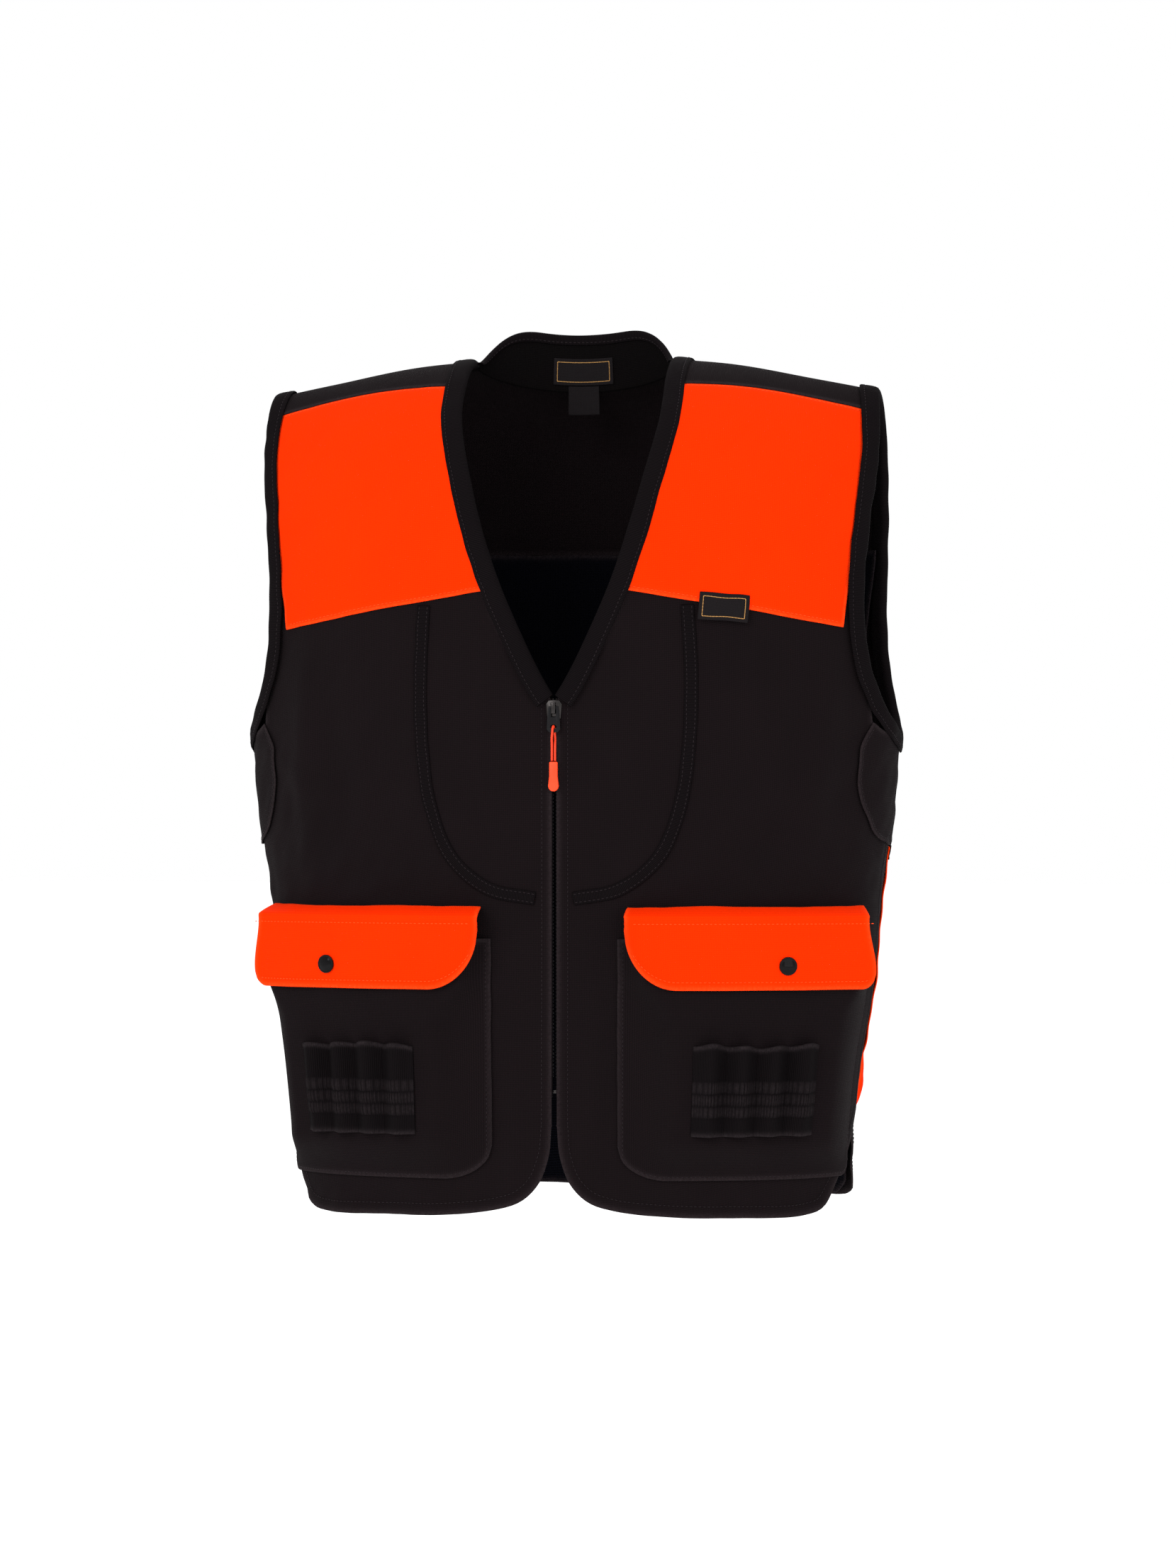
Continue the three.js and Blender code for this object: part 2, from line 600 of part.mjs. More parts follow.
// Joins the doubled vertices of a three.js shape so that it is one closed mesh.
function closed(geometry) {
  geometry.deleteAttribute("normal");
  geometry.deleteAttribute("uv");
  const merged = mergeVertices(geometry, 1e-4);
  const p = merged.index.array;
  const kept = [];
  for (let i = 0; i < p.length; i += 3) {
    const corners = [p[i], p[i + 1], p[i + 2]];
    if (new Set(corners).size === 3) kept.push(...corners);
  }
  merged.setIndex(kept);
  return outwards(merged);
}

const STUD_RADIUS = 1.7;
const SNAP_CLEAR = 0.45;

function addSnap(side, name) {
  const place = snapPlace(side);
  const stud = CLOTH / 2 + 0.3;
  const socket = FLAP_OFF - 0.3 - 1.2;
  const cap = FLAP_OFF + CLOTH + 0.3;
  const hole = STUD_RADIUS + SNAP_CLEAR;
  add(`snap_stud_${name}`, turned([[0, stud], [5, stud], [5, stud + 0.5], [STUD_RADIUS, stud + 0.5],
    [STUD_RADIUS, socket + 0.9], [0, socket + 0.9]]), DARK_METAL, place);
  add(`snap_socket_${name}`, turned([[hole, socket], [5.5, socket], [5.5, socket + 1.2],
    [hole, socket + 1.2], [hole, socket]]), DARK_METAL, place);
  const dome = range(4).map((k) => {
    const a = k * Math.PI / 2;
    return [CAP_RADIUS * Math.cos(a), cap + 0.7 + 1.6 * Math.sin(a)];
  });
  dome[dome.length - 1][0] = 0;
  add(`snap_cap_${name}`, turned([[0, cap], [CAP_RADIUS, cap], ...dome]), DARK_PLASTIC, place);
}

// ---------------------------------------------------------------- zip
// Everything on the closure is flat: the centre front is a plane at -FRONT_DEPTH.
const ZIP_Y = -FRONT_DEPTH;
const PLAQUE_FRONT = CLOTH / 2;
const TAPE_FRONT = -(CLOTH / 2 + RUN);
const TEETH_FRONT = TAPE_FRONT - ZIP_TAPE - RUN;

// A flat outline in x and z, given thickness from one distance out of the front plane to another.
function plate(outline, from, to, holes = []) {
  const loop = (places, clockwise) => {
    const points = places.map(([x, z]) => new THREE.Vector2(x, z));
    return THREE.ShapeUtils.isClockWise(points) === clockwise ? points : points.reverse();
  };
  const shape = new THREE.Shape(loop(outline, false));
  shape.holes = holes.map((hole) => new THREE.Path(loop(hole, true)));
  const solid = new THREE.ExtrudeGeometry(shape, { depth: to - from, bevelEnabled: false, steps: 1 });
  solid.rotateX(Math.PI / 2);
  solid.translate(0, ZIP_Y - from, 0);
  return closed(solid);
}

const block = (x0, x1, z0, z1, from, to) => plate([[x0, z0], [x1, z0], [x1, z1], [x0, z1]], from, to);

const toManifold = (geometry) => new wasm.Manifold(new wasm.Mesh({
  numProp: 3,
  vertProperties: new Float32Array(geometry.attributes.position.array),
  triVerts: new Uint32Array(geometry.index.array),
}));

// Joins closed pieces that run into each other.
function joined(pieces) {
  const solid = pieces.map(toManifold).reduce((all, next) => all.add(next));
  const mesh = solid.getMesh();
  const geometry = new THREE.BufferGeometry();
  const points = new Float32Array(mesh.vertProperties);
  geometry.setAttribute("position", new THREE.BufferAttribute(points, 3));
  geometry.setIndex(Array.from(mesh.triVerts));
  return outwards(geometry);
}

const ZIP_FOOT = ZIP_TOP - ZIP_LENGTH;
const TEETH_TOP = ZIP_TOP - 2;
const TEETH_FOOT = ZIP_FOOT + 12;

function zipTape(side) {
  const inner = TOOTH_TIP + 0.7;
  const [x0, x1] = [inner * side, TAPE_HALF * side].sort((a, b) => a - b);
  return block(x0, x1, ZIP_FOOT - 3, ZIP_TOP + 1, TAPE_FRONT - ZIP_TAPE, TAPE_FRONT);
}

// One side's teeth on their cord: the two sides' teeth are staggered by half a pitch.
function zipTeeth(side) {
  const outline = [[TOOTH_ROOT, TEETH_TOP], [TOOTH_ROOT, TEETH_FOOT], [TOOTH_ROOT - 1, TEETH_FOOT]];
  const count = Math.floor((TEETH_TOP - TEETH_FOOT) / TOOTH_PITCH);
  for (let i = 0; i < count; i++) {
    const z = TEETH_FOOT + (i + (side > 0 ? 0.15 : 0.65)) * TOOTH_PITCH;
    const half = TOOTH_PITCH * 0.15;
    if (z + half * 3 > TEETH_TOP) break;
    outline.push([TOOTH_ROOT - 1, z], [TOOTH_TIP, z + half / 2], [TOOTH_TIP, z + half * 1.5],
      [TOOTH_ROOT - 1, z + half * 2]);
  }
  outline.push([TOOTH_ROOT - 1, TEETH_TOP]);
  return plate(outline.map(([x, z]) => [x * side, z]), TEETH_FRONT - TOOTH, TEETH_FRONT);
}

// Slider: a front plate before the cloth, a back plate behind the teeth with side flanges,
// and the post between the two edges that holds them together.
const SLIDER_TOP = ZIP_TOP - 1;
const SLIDER_FOOT = SLIDER_TOP - SLIDER_LENGTH;
const PLATE_BACK = PLAQUE_FRONT + RUN;
const FLANGE = 1.4;
const BAIL_HALF = 1.6;
const BAIL_LENGTH = 9;
const BAIL_RISE = 4.9;
const TAB_LIFT = 1.6;            // tab clear of the slider's front plate
const TAB_TOP = SLIDER_TOP - 6.2;

function sliderBody() {
  const rear = TEETH_FRONT - TOOTH - RUN;
  const nose = 3;
  const frontPlate = plate([[-SLIDER_HALF + 1, SLIDER_FOOT], [SLIDER_HALF - 1, SLIDER_FOOT],
    [SLIDER_HALF, SLIDER_TOP - nose], [SLIDER_HALF - 2, SLIDER_TOP], [-SLIDER_HALF + 2, SLIDER_TOP],
    [-SLIDER_HALF, SLIDER_TOP - nose]], PLATE_BACK, PLATE_BACK + SLIDER_PLATE);
  const backPlate = block(-SLIDER_HALF, SLIDER_HALF, SLIDER_FOOT, SLIDER_TOP, rear - SLIDER_PLATE, rear);
  const post = block(-POST_HALF, POST_HALF, SLIDER_TOP - 7, SLIDER_TOP - 1, rear - 0.2, PLATE_BACK + 0.2);
  const flanges = [-1, 1].map((side) => {
    const [x0, x1] = [(SLIDER_HALF - FLANGE) * side, SLIDER_HALF * side].sort((a, b) => a - b);
    return block(x0, x1, SLIDER_FOOT, SLIDER_TOP - 2, rear - 0.2, TEETH_FRONT);
  });
  const top = PLATE_BACK + SLIDER_PLATE;
  const bailTop = SLIDER_TOP - 2;
  const legs = [[bailTop - 2.2, bailTop], [bailTop - BAIL_LENGTH, bailTop - BAIL_LENGTH + 2.2]]
    .map(([z0, z1]) => block(-BAIL_HALF, BAIL_HALF, z0, z1, top - 0.2, top + BAIL_RISE));
  const bridge = block(-BAIL_HALF, BAIL_HALF, bailTop - BAIL_LENGTH, bailTop, top + BAIL_RISE - 0.9,
    top + BAIL_RISE);
  return joined([frontPlate, backPlate, post, ...flanges, ...legs, bridge]);
}

const TAB_BACK = PLATE_BACK + SLIDER_PLATE + TAB_LIFT;
const TAB_FOOT = TAB_TOP - TAB_LENGTH;
const CORD_HOLE = TAB_FOOT + 4.6;

const ring = (cx, cz, rx, rz, count) => Array.from({ length: count }, (_, i) => {
  const a = i * 2 * Math.PI / count;
  return [cx + rx * Math.cos(a), cz + rz * Math.sin(a)];
});

// The tab's upper bar lies under the slider's bail, which passes through the tab's window.
function pullTab() {
  const right = [[TAB_HALF - 1.6, TAB_TOP + 1.2], [TAB_HALF - 0.8, TAB_TOP - 4],
    [TAB_HALF, TAB_FOOT + 2.5], [TAB_HALF - 2, TAB_FOOT]];
  const outline = [...right, ...right.map(([x, z]) => [-x, z]).reverse()];
  const half = BAIL_HALF + RUN;
  const window = [[-half, TAB_TOP - 1.2], [half, TAB_TOP - 1.2], [half, TAB_TOP - 7.6],
    [-half, TAB_TOP - 7.6]];
  return plate(outline, TAB_BACK, TAB_BACK + TAB_SHEET, [window, ring(0, CORD_HOLE, 2.6, 1.7, 12)]);
}

const TAB_MID = TAB_BACK + TAB_SHEET / 2;
const GRIP_TOP = CORD_HOLE - CORD_DROP;

// The pull cord is one loop through the tab: each strand comes up out of the grip.
function pullCord() {
  const apart = CORD_RADIUS + 0.35;
  const foot = GRIP_TOP + 0.3;
  const hop = 2.25;
  const strand = [[apart, 0, foot], [apart, 0, foot + 8], [apart, 0.2, foot + 13],
    [1.1, hop * 0.9, CORD_HOLE - 9.5], [0.8, hop, CORD_HOLE - 6], [0.4, hop, CORD_HOLE - 1.6]];
  const line = [...strand.map(([x, out, z]) => [-x, out, z]), [0, 0, CORD_HOLE + 0.45],
    ...strand.slice().reverse().map(([x, out, z]) => [x, -out, z])];
  const path = new THREE.CatmullRomCurve3(
    line.map(([x, out, z]) => new THREE.Vector3(x, ZIP_Y - TAB_MID - out, z)), false, "centripetal");
  const section = new THREE.Shape(
    ring(0, 0, CORD_RADIUS, CORD_RADIUS, 8).map(([x, y]) => new THREE.Vector2(x, y)));
  return closed(new THREE.ExtrudeGeometry(section, { extrudePath: path, steps: 36 }));
}

function pullGrip() {
  const waistHalf = GRIP_HALF - 0.9;
  const foot = GRIP_TOP - GRIP_LENGTH;
  const right = [[waistHalf, GRIP_TOP], [waistHalf, foot + 13]];
  const end = range(6).map((k) => k * Math.PI)
    .map((a) => [GRIP_HALF * Math.cos(a), foot + GRIP_HALF * (1 - Math.sin(a))]);
  const outline = [...right, ...end, ...right.map(([x, z]) => [-x, z]).reverse()];
  return plate(outline, TAB_MID - GRIP_THICK / 2, TAB_MID + GRIP_THICK / 2);
}

// Lower end of the zip: the box on one side and the pin that enters it on the other.
function retainerBox() {
  return joined([
    block(1.0, TOOTH_ROOT + 2, ZIP_FOOT, ZIP_FOOT + 9, TEETH_FRONT - TOOTH, TEETH_FRONT),
    block(-1.2, TOOTH_ROOT + 2, ZIP_FOOT, ZIP_FOOT + 2.4, TEETH_FRONT - TOOTH, TEETH_FRONT)]);
}

const insertPin = () => block(-TOOTH_ROOT, -TOOTH_TIP - 0.7, ZIP_FOOT + 2.8, TEETH_FOOT - RUN,
  TEETH_FRONT - TOOTH, TEETH_FRONT);

function topStop(side) {
  const [x0, x1] = [TOOTH_TIP * side, TOOTH_ROOT * side].sort((a, b) => a - b);
  return block(x0, x1, TEETH_TOP + RUN, TEETH_TOP + 2.5, TEETH_FRONT - TOOTH, TEETH_FRONT);
}

// ---------------------------------------------------------------- game bag
function bagPlace(s, t) {
  const z = mix(BAG_FOOT + 26 * Math.pow(2 * Math.abs(s - 0.5), 6), BAG_TOP, t);
  const edge = mix(BAG_EDGE + 6, BAG_EDGE, smooth(t * 3));
  return round(mix(edge, 360 - edge, s), z);
}

function bagOff(s, t) {
  return OVER + 0.3 + BAG_SWELL * smooth(Math.min(s, 1 - s) / 0.14) * smooth(t / 0.14);
}

function gameBag() {
  const face = (level) => (s, t) => lift(...bagPlace(s, t), bagOff(s, t) + level);
  const edge = [0, 0.035, 0.07, 0.105, 0.14];
  const columns = [...edge, 0.21, 0.3, 0.4, 0.5, 0.6, 0.7, 0.79, ...edge.map((v) => 1 - v).reverse()];
  const rows = [0, 0.035, 0.07, 0.105, 0.14, 0.35, 0.6, 0.8, 1];
  return sheet(columns, rows, face(CLOTH), face(0));
}

function bagBinding() {
  const low = 1 - 11 / (BAG_TOP - BAG_FOOT);
  const face = (level) => (s, t) => {
    const u = mix(low, 1.004, t);
    return lift(...bagPlace(s, u), bagOff(s, u) + CLOTH + 0.5 + level);
  };
  const edge = [0, 0.035, 0.07, 0.105, 0.14];
  const columns = [...edge, 0.21, 0.3, 0.4, 0.5, 0.6, 0.7, 0.79, ...edge.map((v) => 1 - v).reverse()];
  return sheet(columns, [0, 1], face(CLOTH), face(0));
}

// ---------------------------------------------------------------- labels
function chestLabel() {
  const [phi, drop] = at(137, -205);
  const heading = vector(body(phi + 1, drop)).sub(vector(body(phi, drop))).normalize();
  heading.applyAxisAngle(bodyNormal(phi, drop), rad(4));
  const half = 20;
  const line = paced(range(4).map((k) => walk([phi, drop], heading, mix(-half, half, k))));
  return strip(line, range(4), -11, 11, TOP + 0.4, 0.8);
}

// ---------------------------------------------------------------- the vest
for (const [name, side] of [["right", -1], ["left", 1]]) {
  add(`front_panel_${name}`, frontPanel(side), CANVAS);
  add(`side_panel_${name}`, sidePanel(side), CANVAS);
  add(`shoulder_strap_${name}`, shoulderStrap(side), CANVAS);
  add(`shoulder_patch_${name}`, shoulderPatch(side), BLAZE);
  add(`neck_binding_${name}`, neckBinding(side), WEBBING);
  add(`armhole_binding_${name}`, armholeBinding(side), WEBBING);
  add(`chest_tape_${name}`, chestTape(side), WEBBING);
  add(`pocket_pouch_${name}`, pocketPouch(side), CANVAS);
  add(`flap_band_${name}`, flapBand(side), BLAZE);
  add(`pocket_flap_${name}`, pocketFlap(side), BLAZE);
  add(`shell_loops_${name}`, shellLoops(side), ELASTIC);
  addSnap(side, name);
  add(`zip_tape_${name}`, zipTape(side), WEBBING);
  add(`zip_teeth_${name}`, zipTeeth(side), DARK_PLASTIC);
  add(`zip_top_stop_${name}`, topStop(side), DARK_METAL);
}
add("back_panel", backPanel(BASE, 0, 20, 12), CANVAS);
add("back_lining", backPanel(UNDER - LAYER * 3, 5, 20, 12), MESH_LINING);
add("back_yoke", backYoke(), CANVAS);
add("collar_band", collarSheet(0, 1, 0, 0.86, 20, 3, -COLLAR_THICK / 2, COLLAR_THICK), CANVAS);
add("collar_binding", collarSheet(0, 1, 0.88, 1, 20, 1, -COLLAR_THICK / 2 - 0.6, COLLAR_THICK + 1.2),
  WEBBING);
add("game_bag", gameBag(), BLAZE);
add("game_bag_binding", bagBinding(), WEBBING);
add("slider_body", sliderBody(), DARK_METAL);
add("pull_tab", pullTab(), DARK_METAL);
add("pull_cord", pullCord(), PULL_PLASTIC);
add("pull_grip", pullGrip(), PULL_PLASTIC);
add("zip_retainer_box", retainerBox(), DARK_METAL);
add("zip_insert_pin", insertPin(), DARK_METAL);
add("chest_label", chestLabel(), LABEL);
add("neck_label", collarSheet(0.5 - 0.105, 0.5 + 0.105, 0.12, 0.6, 6, 1, COLLAR_THICK / 2 + 0.5, 0.5), LABEL);

export default root;
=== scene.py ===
import math

import bpy
import numpy as np
from mathutils import Matrix, Vector
from mathutils.kdtree import KDTree


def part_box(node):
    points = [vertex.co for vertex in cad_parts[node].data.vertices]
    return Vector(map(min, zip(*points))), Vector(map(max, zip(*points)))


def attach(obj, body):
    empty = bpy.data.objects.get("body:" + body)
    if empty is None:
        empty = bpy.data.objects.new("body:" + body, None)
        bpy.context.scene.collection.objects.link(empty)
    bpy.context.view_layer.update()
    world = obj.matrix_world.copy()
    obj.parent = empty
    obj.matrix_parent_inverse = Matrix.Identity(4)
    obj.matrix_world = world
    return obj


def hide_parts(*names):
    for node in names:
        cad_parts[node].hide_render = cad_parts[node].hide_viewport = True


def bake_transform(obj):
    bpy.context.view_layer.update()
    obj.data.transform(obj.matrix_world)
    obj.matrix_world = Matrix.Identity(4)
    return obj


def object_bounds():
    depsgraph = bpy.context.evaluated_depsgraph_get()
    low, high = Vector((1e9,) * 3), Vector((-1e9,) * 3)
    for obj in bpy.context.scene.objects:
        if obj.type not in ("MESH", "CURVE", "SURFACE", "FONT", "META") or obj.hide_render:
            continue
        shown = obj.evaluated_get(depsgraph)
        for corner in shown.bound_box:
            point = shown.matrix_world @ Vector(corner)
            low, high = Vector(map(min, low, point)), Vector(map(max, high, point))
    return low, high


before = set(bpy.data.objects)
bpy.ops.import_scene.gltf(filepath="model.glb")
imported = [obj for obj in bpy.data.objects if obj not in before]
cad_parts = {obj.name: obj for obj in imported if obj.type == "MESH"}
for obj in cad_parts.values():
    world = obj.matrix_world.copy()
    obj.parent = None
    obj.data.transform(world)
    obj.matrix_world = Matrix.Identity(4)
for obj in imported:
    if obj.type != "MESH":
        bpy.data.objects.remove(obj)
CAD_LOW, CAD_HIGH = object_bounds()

# Upland hunting vest: black canvas body, blaze orange shoulder patches, pocket flaps and game bag.
# Lengths are in millimetres until a mesh is made, +Z is up, the wearer faces -Y, and the wearer's
# left is +X. The origin is the point between the shoulders that carries the vest.
MM = 0.001

# ---------------------------------------------------------------- driving sizes of the pattern
HEM_DROP = 700.0
CHEST_HALF = 268.0
FRONT_DEPTH = 122.0
BACK_DEPTH = 112.0
SECTION_POWER = 2.4
SHOULDER_ROUND = 165.0
BACK_FULL = 1.35
SHOULDER_ARC = SHOULDER_ROUND * math.pi / 2
NECK_HALF = 85.0
SHOULDER_HALF = CHEST_HALF - 18

CLOTH = 1.2                      # canvas
BASE = 0.0                       # mid surface of the body layer
OVER = 2.2                       # patches, straps and side panels
TOP = 4.4                        # bindings over them
UNDER = -5.2                     # the back's lining

ZIP_TOP = -279.0
ZIP_FOOT = -599.0
FRONT_EDGE = 2.2                 # centre line to a front's edge
TAPE_HALF = 14.0
UNDERARM = -310.0
SIDE_FOOT = -394.0
YOKE_SEAM = -152.0
LOW_SIDE = -HEM_DROP + 83
NECK_BACK = -10.0
COLLAR_RISE = 46.0
COLLAR_DEPTH = 52.0

POCKET_INNER = 60.0
POCKET_OUTER = CHEST_HALF - 8
POCKET_FOOT_OUTER = CHEST_HALF - 32
POCKET_FRONT = FRONT_DEPTH + 17
POCKET_SIDE = FRONT_DEPTH - 50
POCKET_BOW = 15.0
POCKET_FOOT = -669.0
POCKET_MOUTH = -474.0
FLAP_TOP = -455.0
FLAP_DEPTH = 59.0
FLAP_BAND = 7.0
FLAP_MID = 4.0                   # pocket face to the middle of the flap's thickness
FLAP_LONG, FLAP_TALL = 225, 66   # the flap's cut, with the band above its fold
SNAP_ACROSS = 0.63
SNAP_UP = 19.0
CAP_RADIUS = 7.5

LOOPS = 4
LOOP_START, LOOP_END = 0.27, 0.79
LOOP_TOP, LOOP_FOOT = -558.0, -632.0
LOOP_TALL = LOOP_TOP - LOOP_FOOT
LOOP_RISE = 11.0
PLEATS = 10                      # gathers in each loop

BAG_TOP, BAG_FOOT = -400.0, -653.0
BAG_SWELL = 14.0
BAG_EDGE = 101.0                 # degrees round to the bag's side seams
BAG_LONG, BAG_TALL = 640, 255    # the bag's cut

SIDES = (("right", -1), ("left", 1))


# ---------------------------------------------------------------- small helpers
def mix(a, b, k):
    return a + (b - a) * k


def smooth(k):
    k = np.clip(k, 0, 1)
    return k * k * (3 - 2 * k)


def bump(distance, width):
    return np.exp(-((distance / width) ** 2))


def quarter(k):
    """A quarter round, level until k passes 0 and upright where k is 1."""
    return 1 - np.sqrt(1 - np.clip(k, 0, 1) ** 2)


def unit(v):
    return v / np.maximum(np.linalg.norm(v, axis=-1, keepdims=True), 1e-9)


def lengths(path):
    """How far along a path each of its points is."""
    return np.concatenate([[0], np.cumsum(np.linalg.norm(np.diff(path, axis=0), axis=1))])


def through(pairs):
    """A smooth curve through [key, value] pairs, level past its ends."""
    keys, values = np.array(pairs, float).T
    slopes = np.gradient(values, keys)
    slopes[0] = slopes[-1] = 0
    dense = np.linspace(keys[0], keys[-1], 400)
    i = np.clip(np.searchsorted(keys, dense) - 1, 0, len(keys) - 2)
    width = keys[i + 1] - keys[i]
    k = (dense - keys[i]) / width
    curve = ((1 + 2 * k) * (1 - k) ** 2 * values[i] + k * (1 - k) ** 2 * width * slopes[i]
             + k * k * (3 - 2 * k) * values[i + 1] + k * k * (k - 1) * width * slopes[i + 1])
    return lambda key: np.interp(key, dense, curve)


# ---------------------------------------------------------------- the body's form
waist_share = through([(0, 0.866), (60, 0.868), (120, 0.888), (180, 0.925), (260, 0.952), (330, 0.985),
                       (400, 1)])
ridge_height = through([(0, 6), (NECK_HALF, 3), (130, -1), (200, -14), (SHOULDER_HALF, -24),
                        (CHEST_HALF, -28)])


def waist(z):
    return CHEST_HALF * waist_share(z + HEM_DROP)


def ridge(x):
    return ridge_height(np.abs(x))


def power(v):
    return np.sign(v) * np.abs(v) ** (2 / SECTION_POWER)


def body(phi, drop):
    """Cloth's mid surface: phi is degrees round from the centre front towards +X, and drop is how far
    down the cloth from the shoulder ridge. A negative drop has gone over the ridge."""
    turn = np.radians(np.where(drop < 0, 180 - phi, phi))
    down = np.abs(drop)
    s, c = power(np.sin(turn)), power(np.cos(turn))
    bend = np.minimum(down / SHOULDER_ARC, 1) * math.pi / 2
    fall = SHOULDER_ROUND * (1 - np.cos(bend)) + np.maximum(0, down - SHOULDER_ARC)
    z = ridge(CHEST_HALF * s) - fall
    back_bend = np.minimum(bend * BACK_FULL, math.pi / 2)
    depth = np.where(c >= 0, FRONT_DEPTH * np.sin(bend), BACK_DEPTH * np.sin(back_bend))
    return np.stack([waist(z) * s, -c * depth, z], -1)


def at(x, z, back=False):
    """Pattern place (phi, drop) of the body point at x and z, on the front or the back."""
    share = float(np.clip(abs(x) / waist(z), 0, 1)) ** (SECTION_POWER / 2)
    turn = math.degrees(math.asin(share))
    phi = math.copysign(180 - turn if back else turn, x)
    fall = max(0.0, float(ridge(CHEST_HALF * power(share))) - z)
    past = max(0.0, fall - SHOULDER_ROUND)
    return phi, SHOULDER_ROUND * math.acos(1 - (fall - past) / SHOULDER_ROUND) + past


def around(phi, z):
    """The same from degrees round the body and a height."""
    x = float(waist(z) * abs(power(math.sin(math.radians(phi))))) * (1 if phi >= 0 else -1)
    angle, drop = at(x, z, abs(phi) > 90)
    return (phi if abs(phi) > 180 else angle), drop


drops_around = np.vectorize(lambda phi, z: around(phi, z)[1])


def flank(inset, z, back=False):
    return at(CHEST_HALF - inset, z, back)


def hem(z):
    return -HEM_DROP + z


# Distance round the body against phi, for patterns that follow the cloth.
RING_PHI = np.linspace(-200, 560, 3801)
RING_GIRTH = lengths(np.stack([CHEST_HALF * power(np.sin(np.radians(RING_PHI))),
                               (FRONT_DEPTH + BACK_DEPTH) / 2 * power(np.cos(np.radians(RING_PHI)))], -1))
RING_GIRTH -= np.interp(0, RING_PHI, RING_GIRTH)


def girth(phi):
    return np.interp(phi, RING_PHI, RING_GIRTH)


def normal_of(surface, phi, drop):
    across = surface(phi + 0.4, drop) - surface(phi - 0.4, drop)
    down = surface(phi, drop + 0.5) - surface(phi, drop - 0.5)
    n = np.cross(down, across)
    return n / np.linalg.norm(n, axis=-1, keepdims=True)


# Folds on the fronts: from (x, z) to (x, z), half width, and height off the body.
FOLD_DEPTH = 1.5
FOLDS = (
    ((30, -505), (24, -690), 8, 3.0), ((47, -520), (44, -695), 7, -2.4), ((20, -470), (40, -560), 9, 1.8),
    ((-24, -540), (-34, -690), 9, 2.0), ((-46, -560), (-50, -690), 10, -1.8),
    ((238, -330), (150, -372), 13, 2.6), ((232, -356), (140, -420), 15, -2.2),
    ((226, -230), (196, -420), 15, 2.4), ((205, -250), (176, -400), 11, -1.8),
    ((-240, -330), (-176, -366), 12, 2.4), ((-214, -240), (-206, -430), 12, 2.6),
    ((-190, -250), (-170, -420), 13, -2.0), ((-120, -300), (-70, -420), 16, 1.4),
    ((40, -300), (86, -400), 15, 1.5), ((120, -262), (150, -440), 17, 1.3),
    ((-60, -120), (-150, -180), 12, 0.9), ((120, -60), (190, -160), 13, 1.0),
    ((150, -140), (205, -196), 10, -0.9),
)
FOLD_LINES = [(*((girth(phi), drop) for phi, drop in (at(*a), at(*b))), width, height)
              for a, b, width, height in FOLDS]

_random = np.random.default_rng(11)
BROAD = [(1 / _random.uniform(70, 150), _random.uniform(-0.0025, 0.0025), _random.uniform(0, 1),
          _random.uniform(0.5, 1.0)) for _ in range(8)]
CRINKLE = [(math.cos(a) / w, math.sin(a) / w, _random.uniform(0, 1), _random.uniform(0.12, 0.26))
           for a, w in zip(_random.uniform(0, math.pi, 12), _random.uniform(19, 44, 12))]


def waves(sets, u, v):
    return sum(height * np.sin(2 * math.pi * (a * u + b * v + phase)) for a, b, phase, height in sets)


def drape(phi, drop):
    """How far the hanging cloth stands off the body's plain form: nothing at the zip and shoulders."""
    u, v = girth(phi), drop
    point = body(phi, drop)
    x, z = np.abs(point[..., 0]), point[..., 2]
    front = np.abs(phi) < 90
    free = smooth((x - 17) / 42) + np.where(front, 0, 1)
    free = np.clip(free, 0, 1) * smooth((v - 30) / 160)
    pocket = smooth((x - 44) / 14) * smooth((-438 - z) / 14) * smooth((z + 686) / 16) * front
    lower = mix(0.35, 1.25, smooth((v - 260) / 420))
    height = 0.75 * lower * waves(BROAD, u, v) + waves(CRINKLE, u, v) * (0.5 + 0.5 * lower)
    for start, end, width, rise in FOLD_LINES:
        span = np.subtract(end, start)
        k = np.clip(((u - start[0]) * span[0] + (v - start[1]) * span[1]) / (span @ span), 0, 1)
        away = np.hypot(u - start[0] - k * span[0], v - start[1] - k * span[1])
        height = height + FOLD_DEPTH * rise * bump(away, width) * np.sin(math.pi * mix(0.12, 0.88, k))
    return height * free * (1 - pocket)


def draped(phi, drop):
    return body(phi, drop) + normal_of(body, phi, drop) * drape(phi, drop)[..., None]


def lift(phi, drop, off):
    """A point of the hanging cloth, moved out along its normal."""
    return draped(phi, drop) + normal_of(draped, phi, drop) * np.asarray(off)[..., None]


# ---------------------------------------------------------------- lines on the pattern
def rounded(places, pieces=16):
    """A round line through pattern places."""
    p = np.array(places, float) * (4, 1)
    p = np.vstack([2 * p[0] - p[1], p, 2 * p[-1] - p[-2]])
    made = []
    for a, b, c, d in zip(p, p[1:], p[2:], p[3:]):
        t = [0.0]
        for start, end in ((a, b), (b, c), (c, d)):
            t.append(t[-1] + max(np.linalg.norm(end - start), 1e-6) ** 0.5)
        k = np.linspace(t[1], t[2], pieces, endpoint=False)[:, None]
        ab, bc, cd = (mix(start, end, (k - t[i]) / (t[i + 1] - t[i]))
                      for i, (start, end) in enumerate(((a, b), (b, c), (c, d))))
        abc = mix(ab, bc, (k - t[0]) / (t[2] - t[0]))
        bcd = mix(bc, cd, (k - t[1]) / (t[3] - t[1]))
        made.append(mix(abc, bcd, (k - t[1]) / (t[2] - t[1])))
    return np.vstack([*made, p[-2]]) / (4, 1)


def measured(places):
    """A line: its shares by distance, its places, and its whole length."""
    walked = lengths(body(*places.T))
    return walked / walked[-1], places, walked[-1]


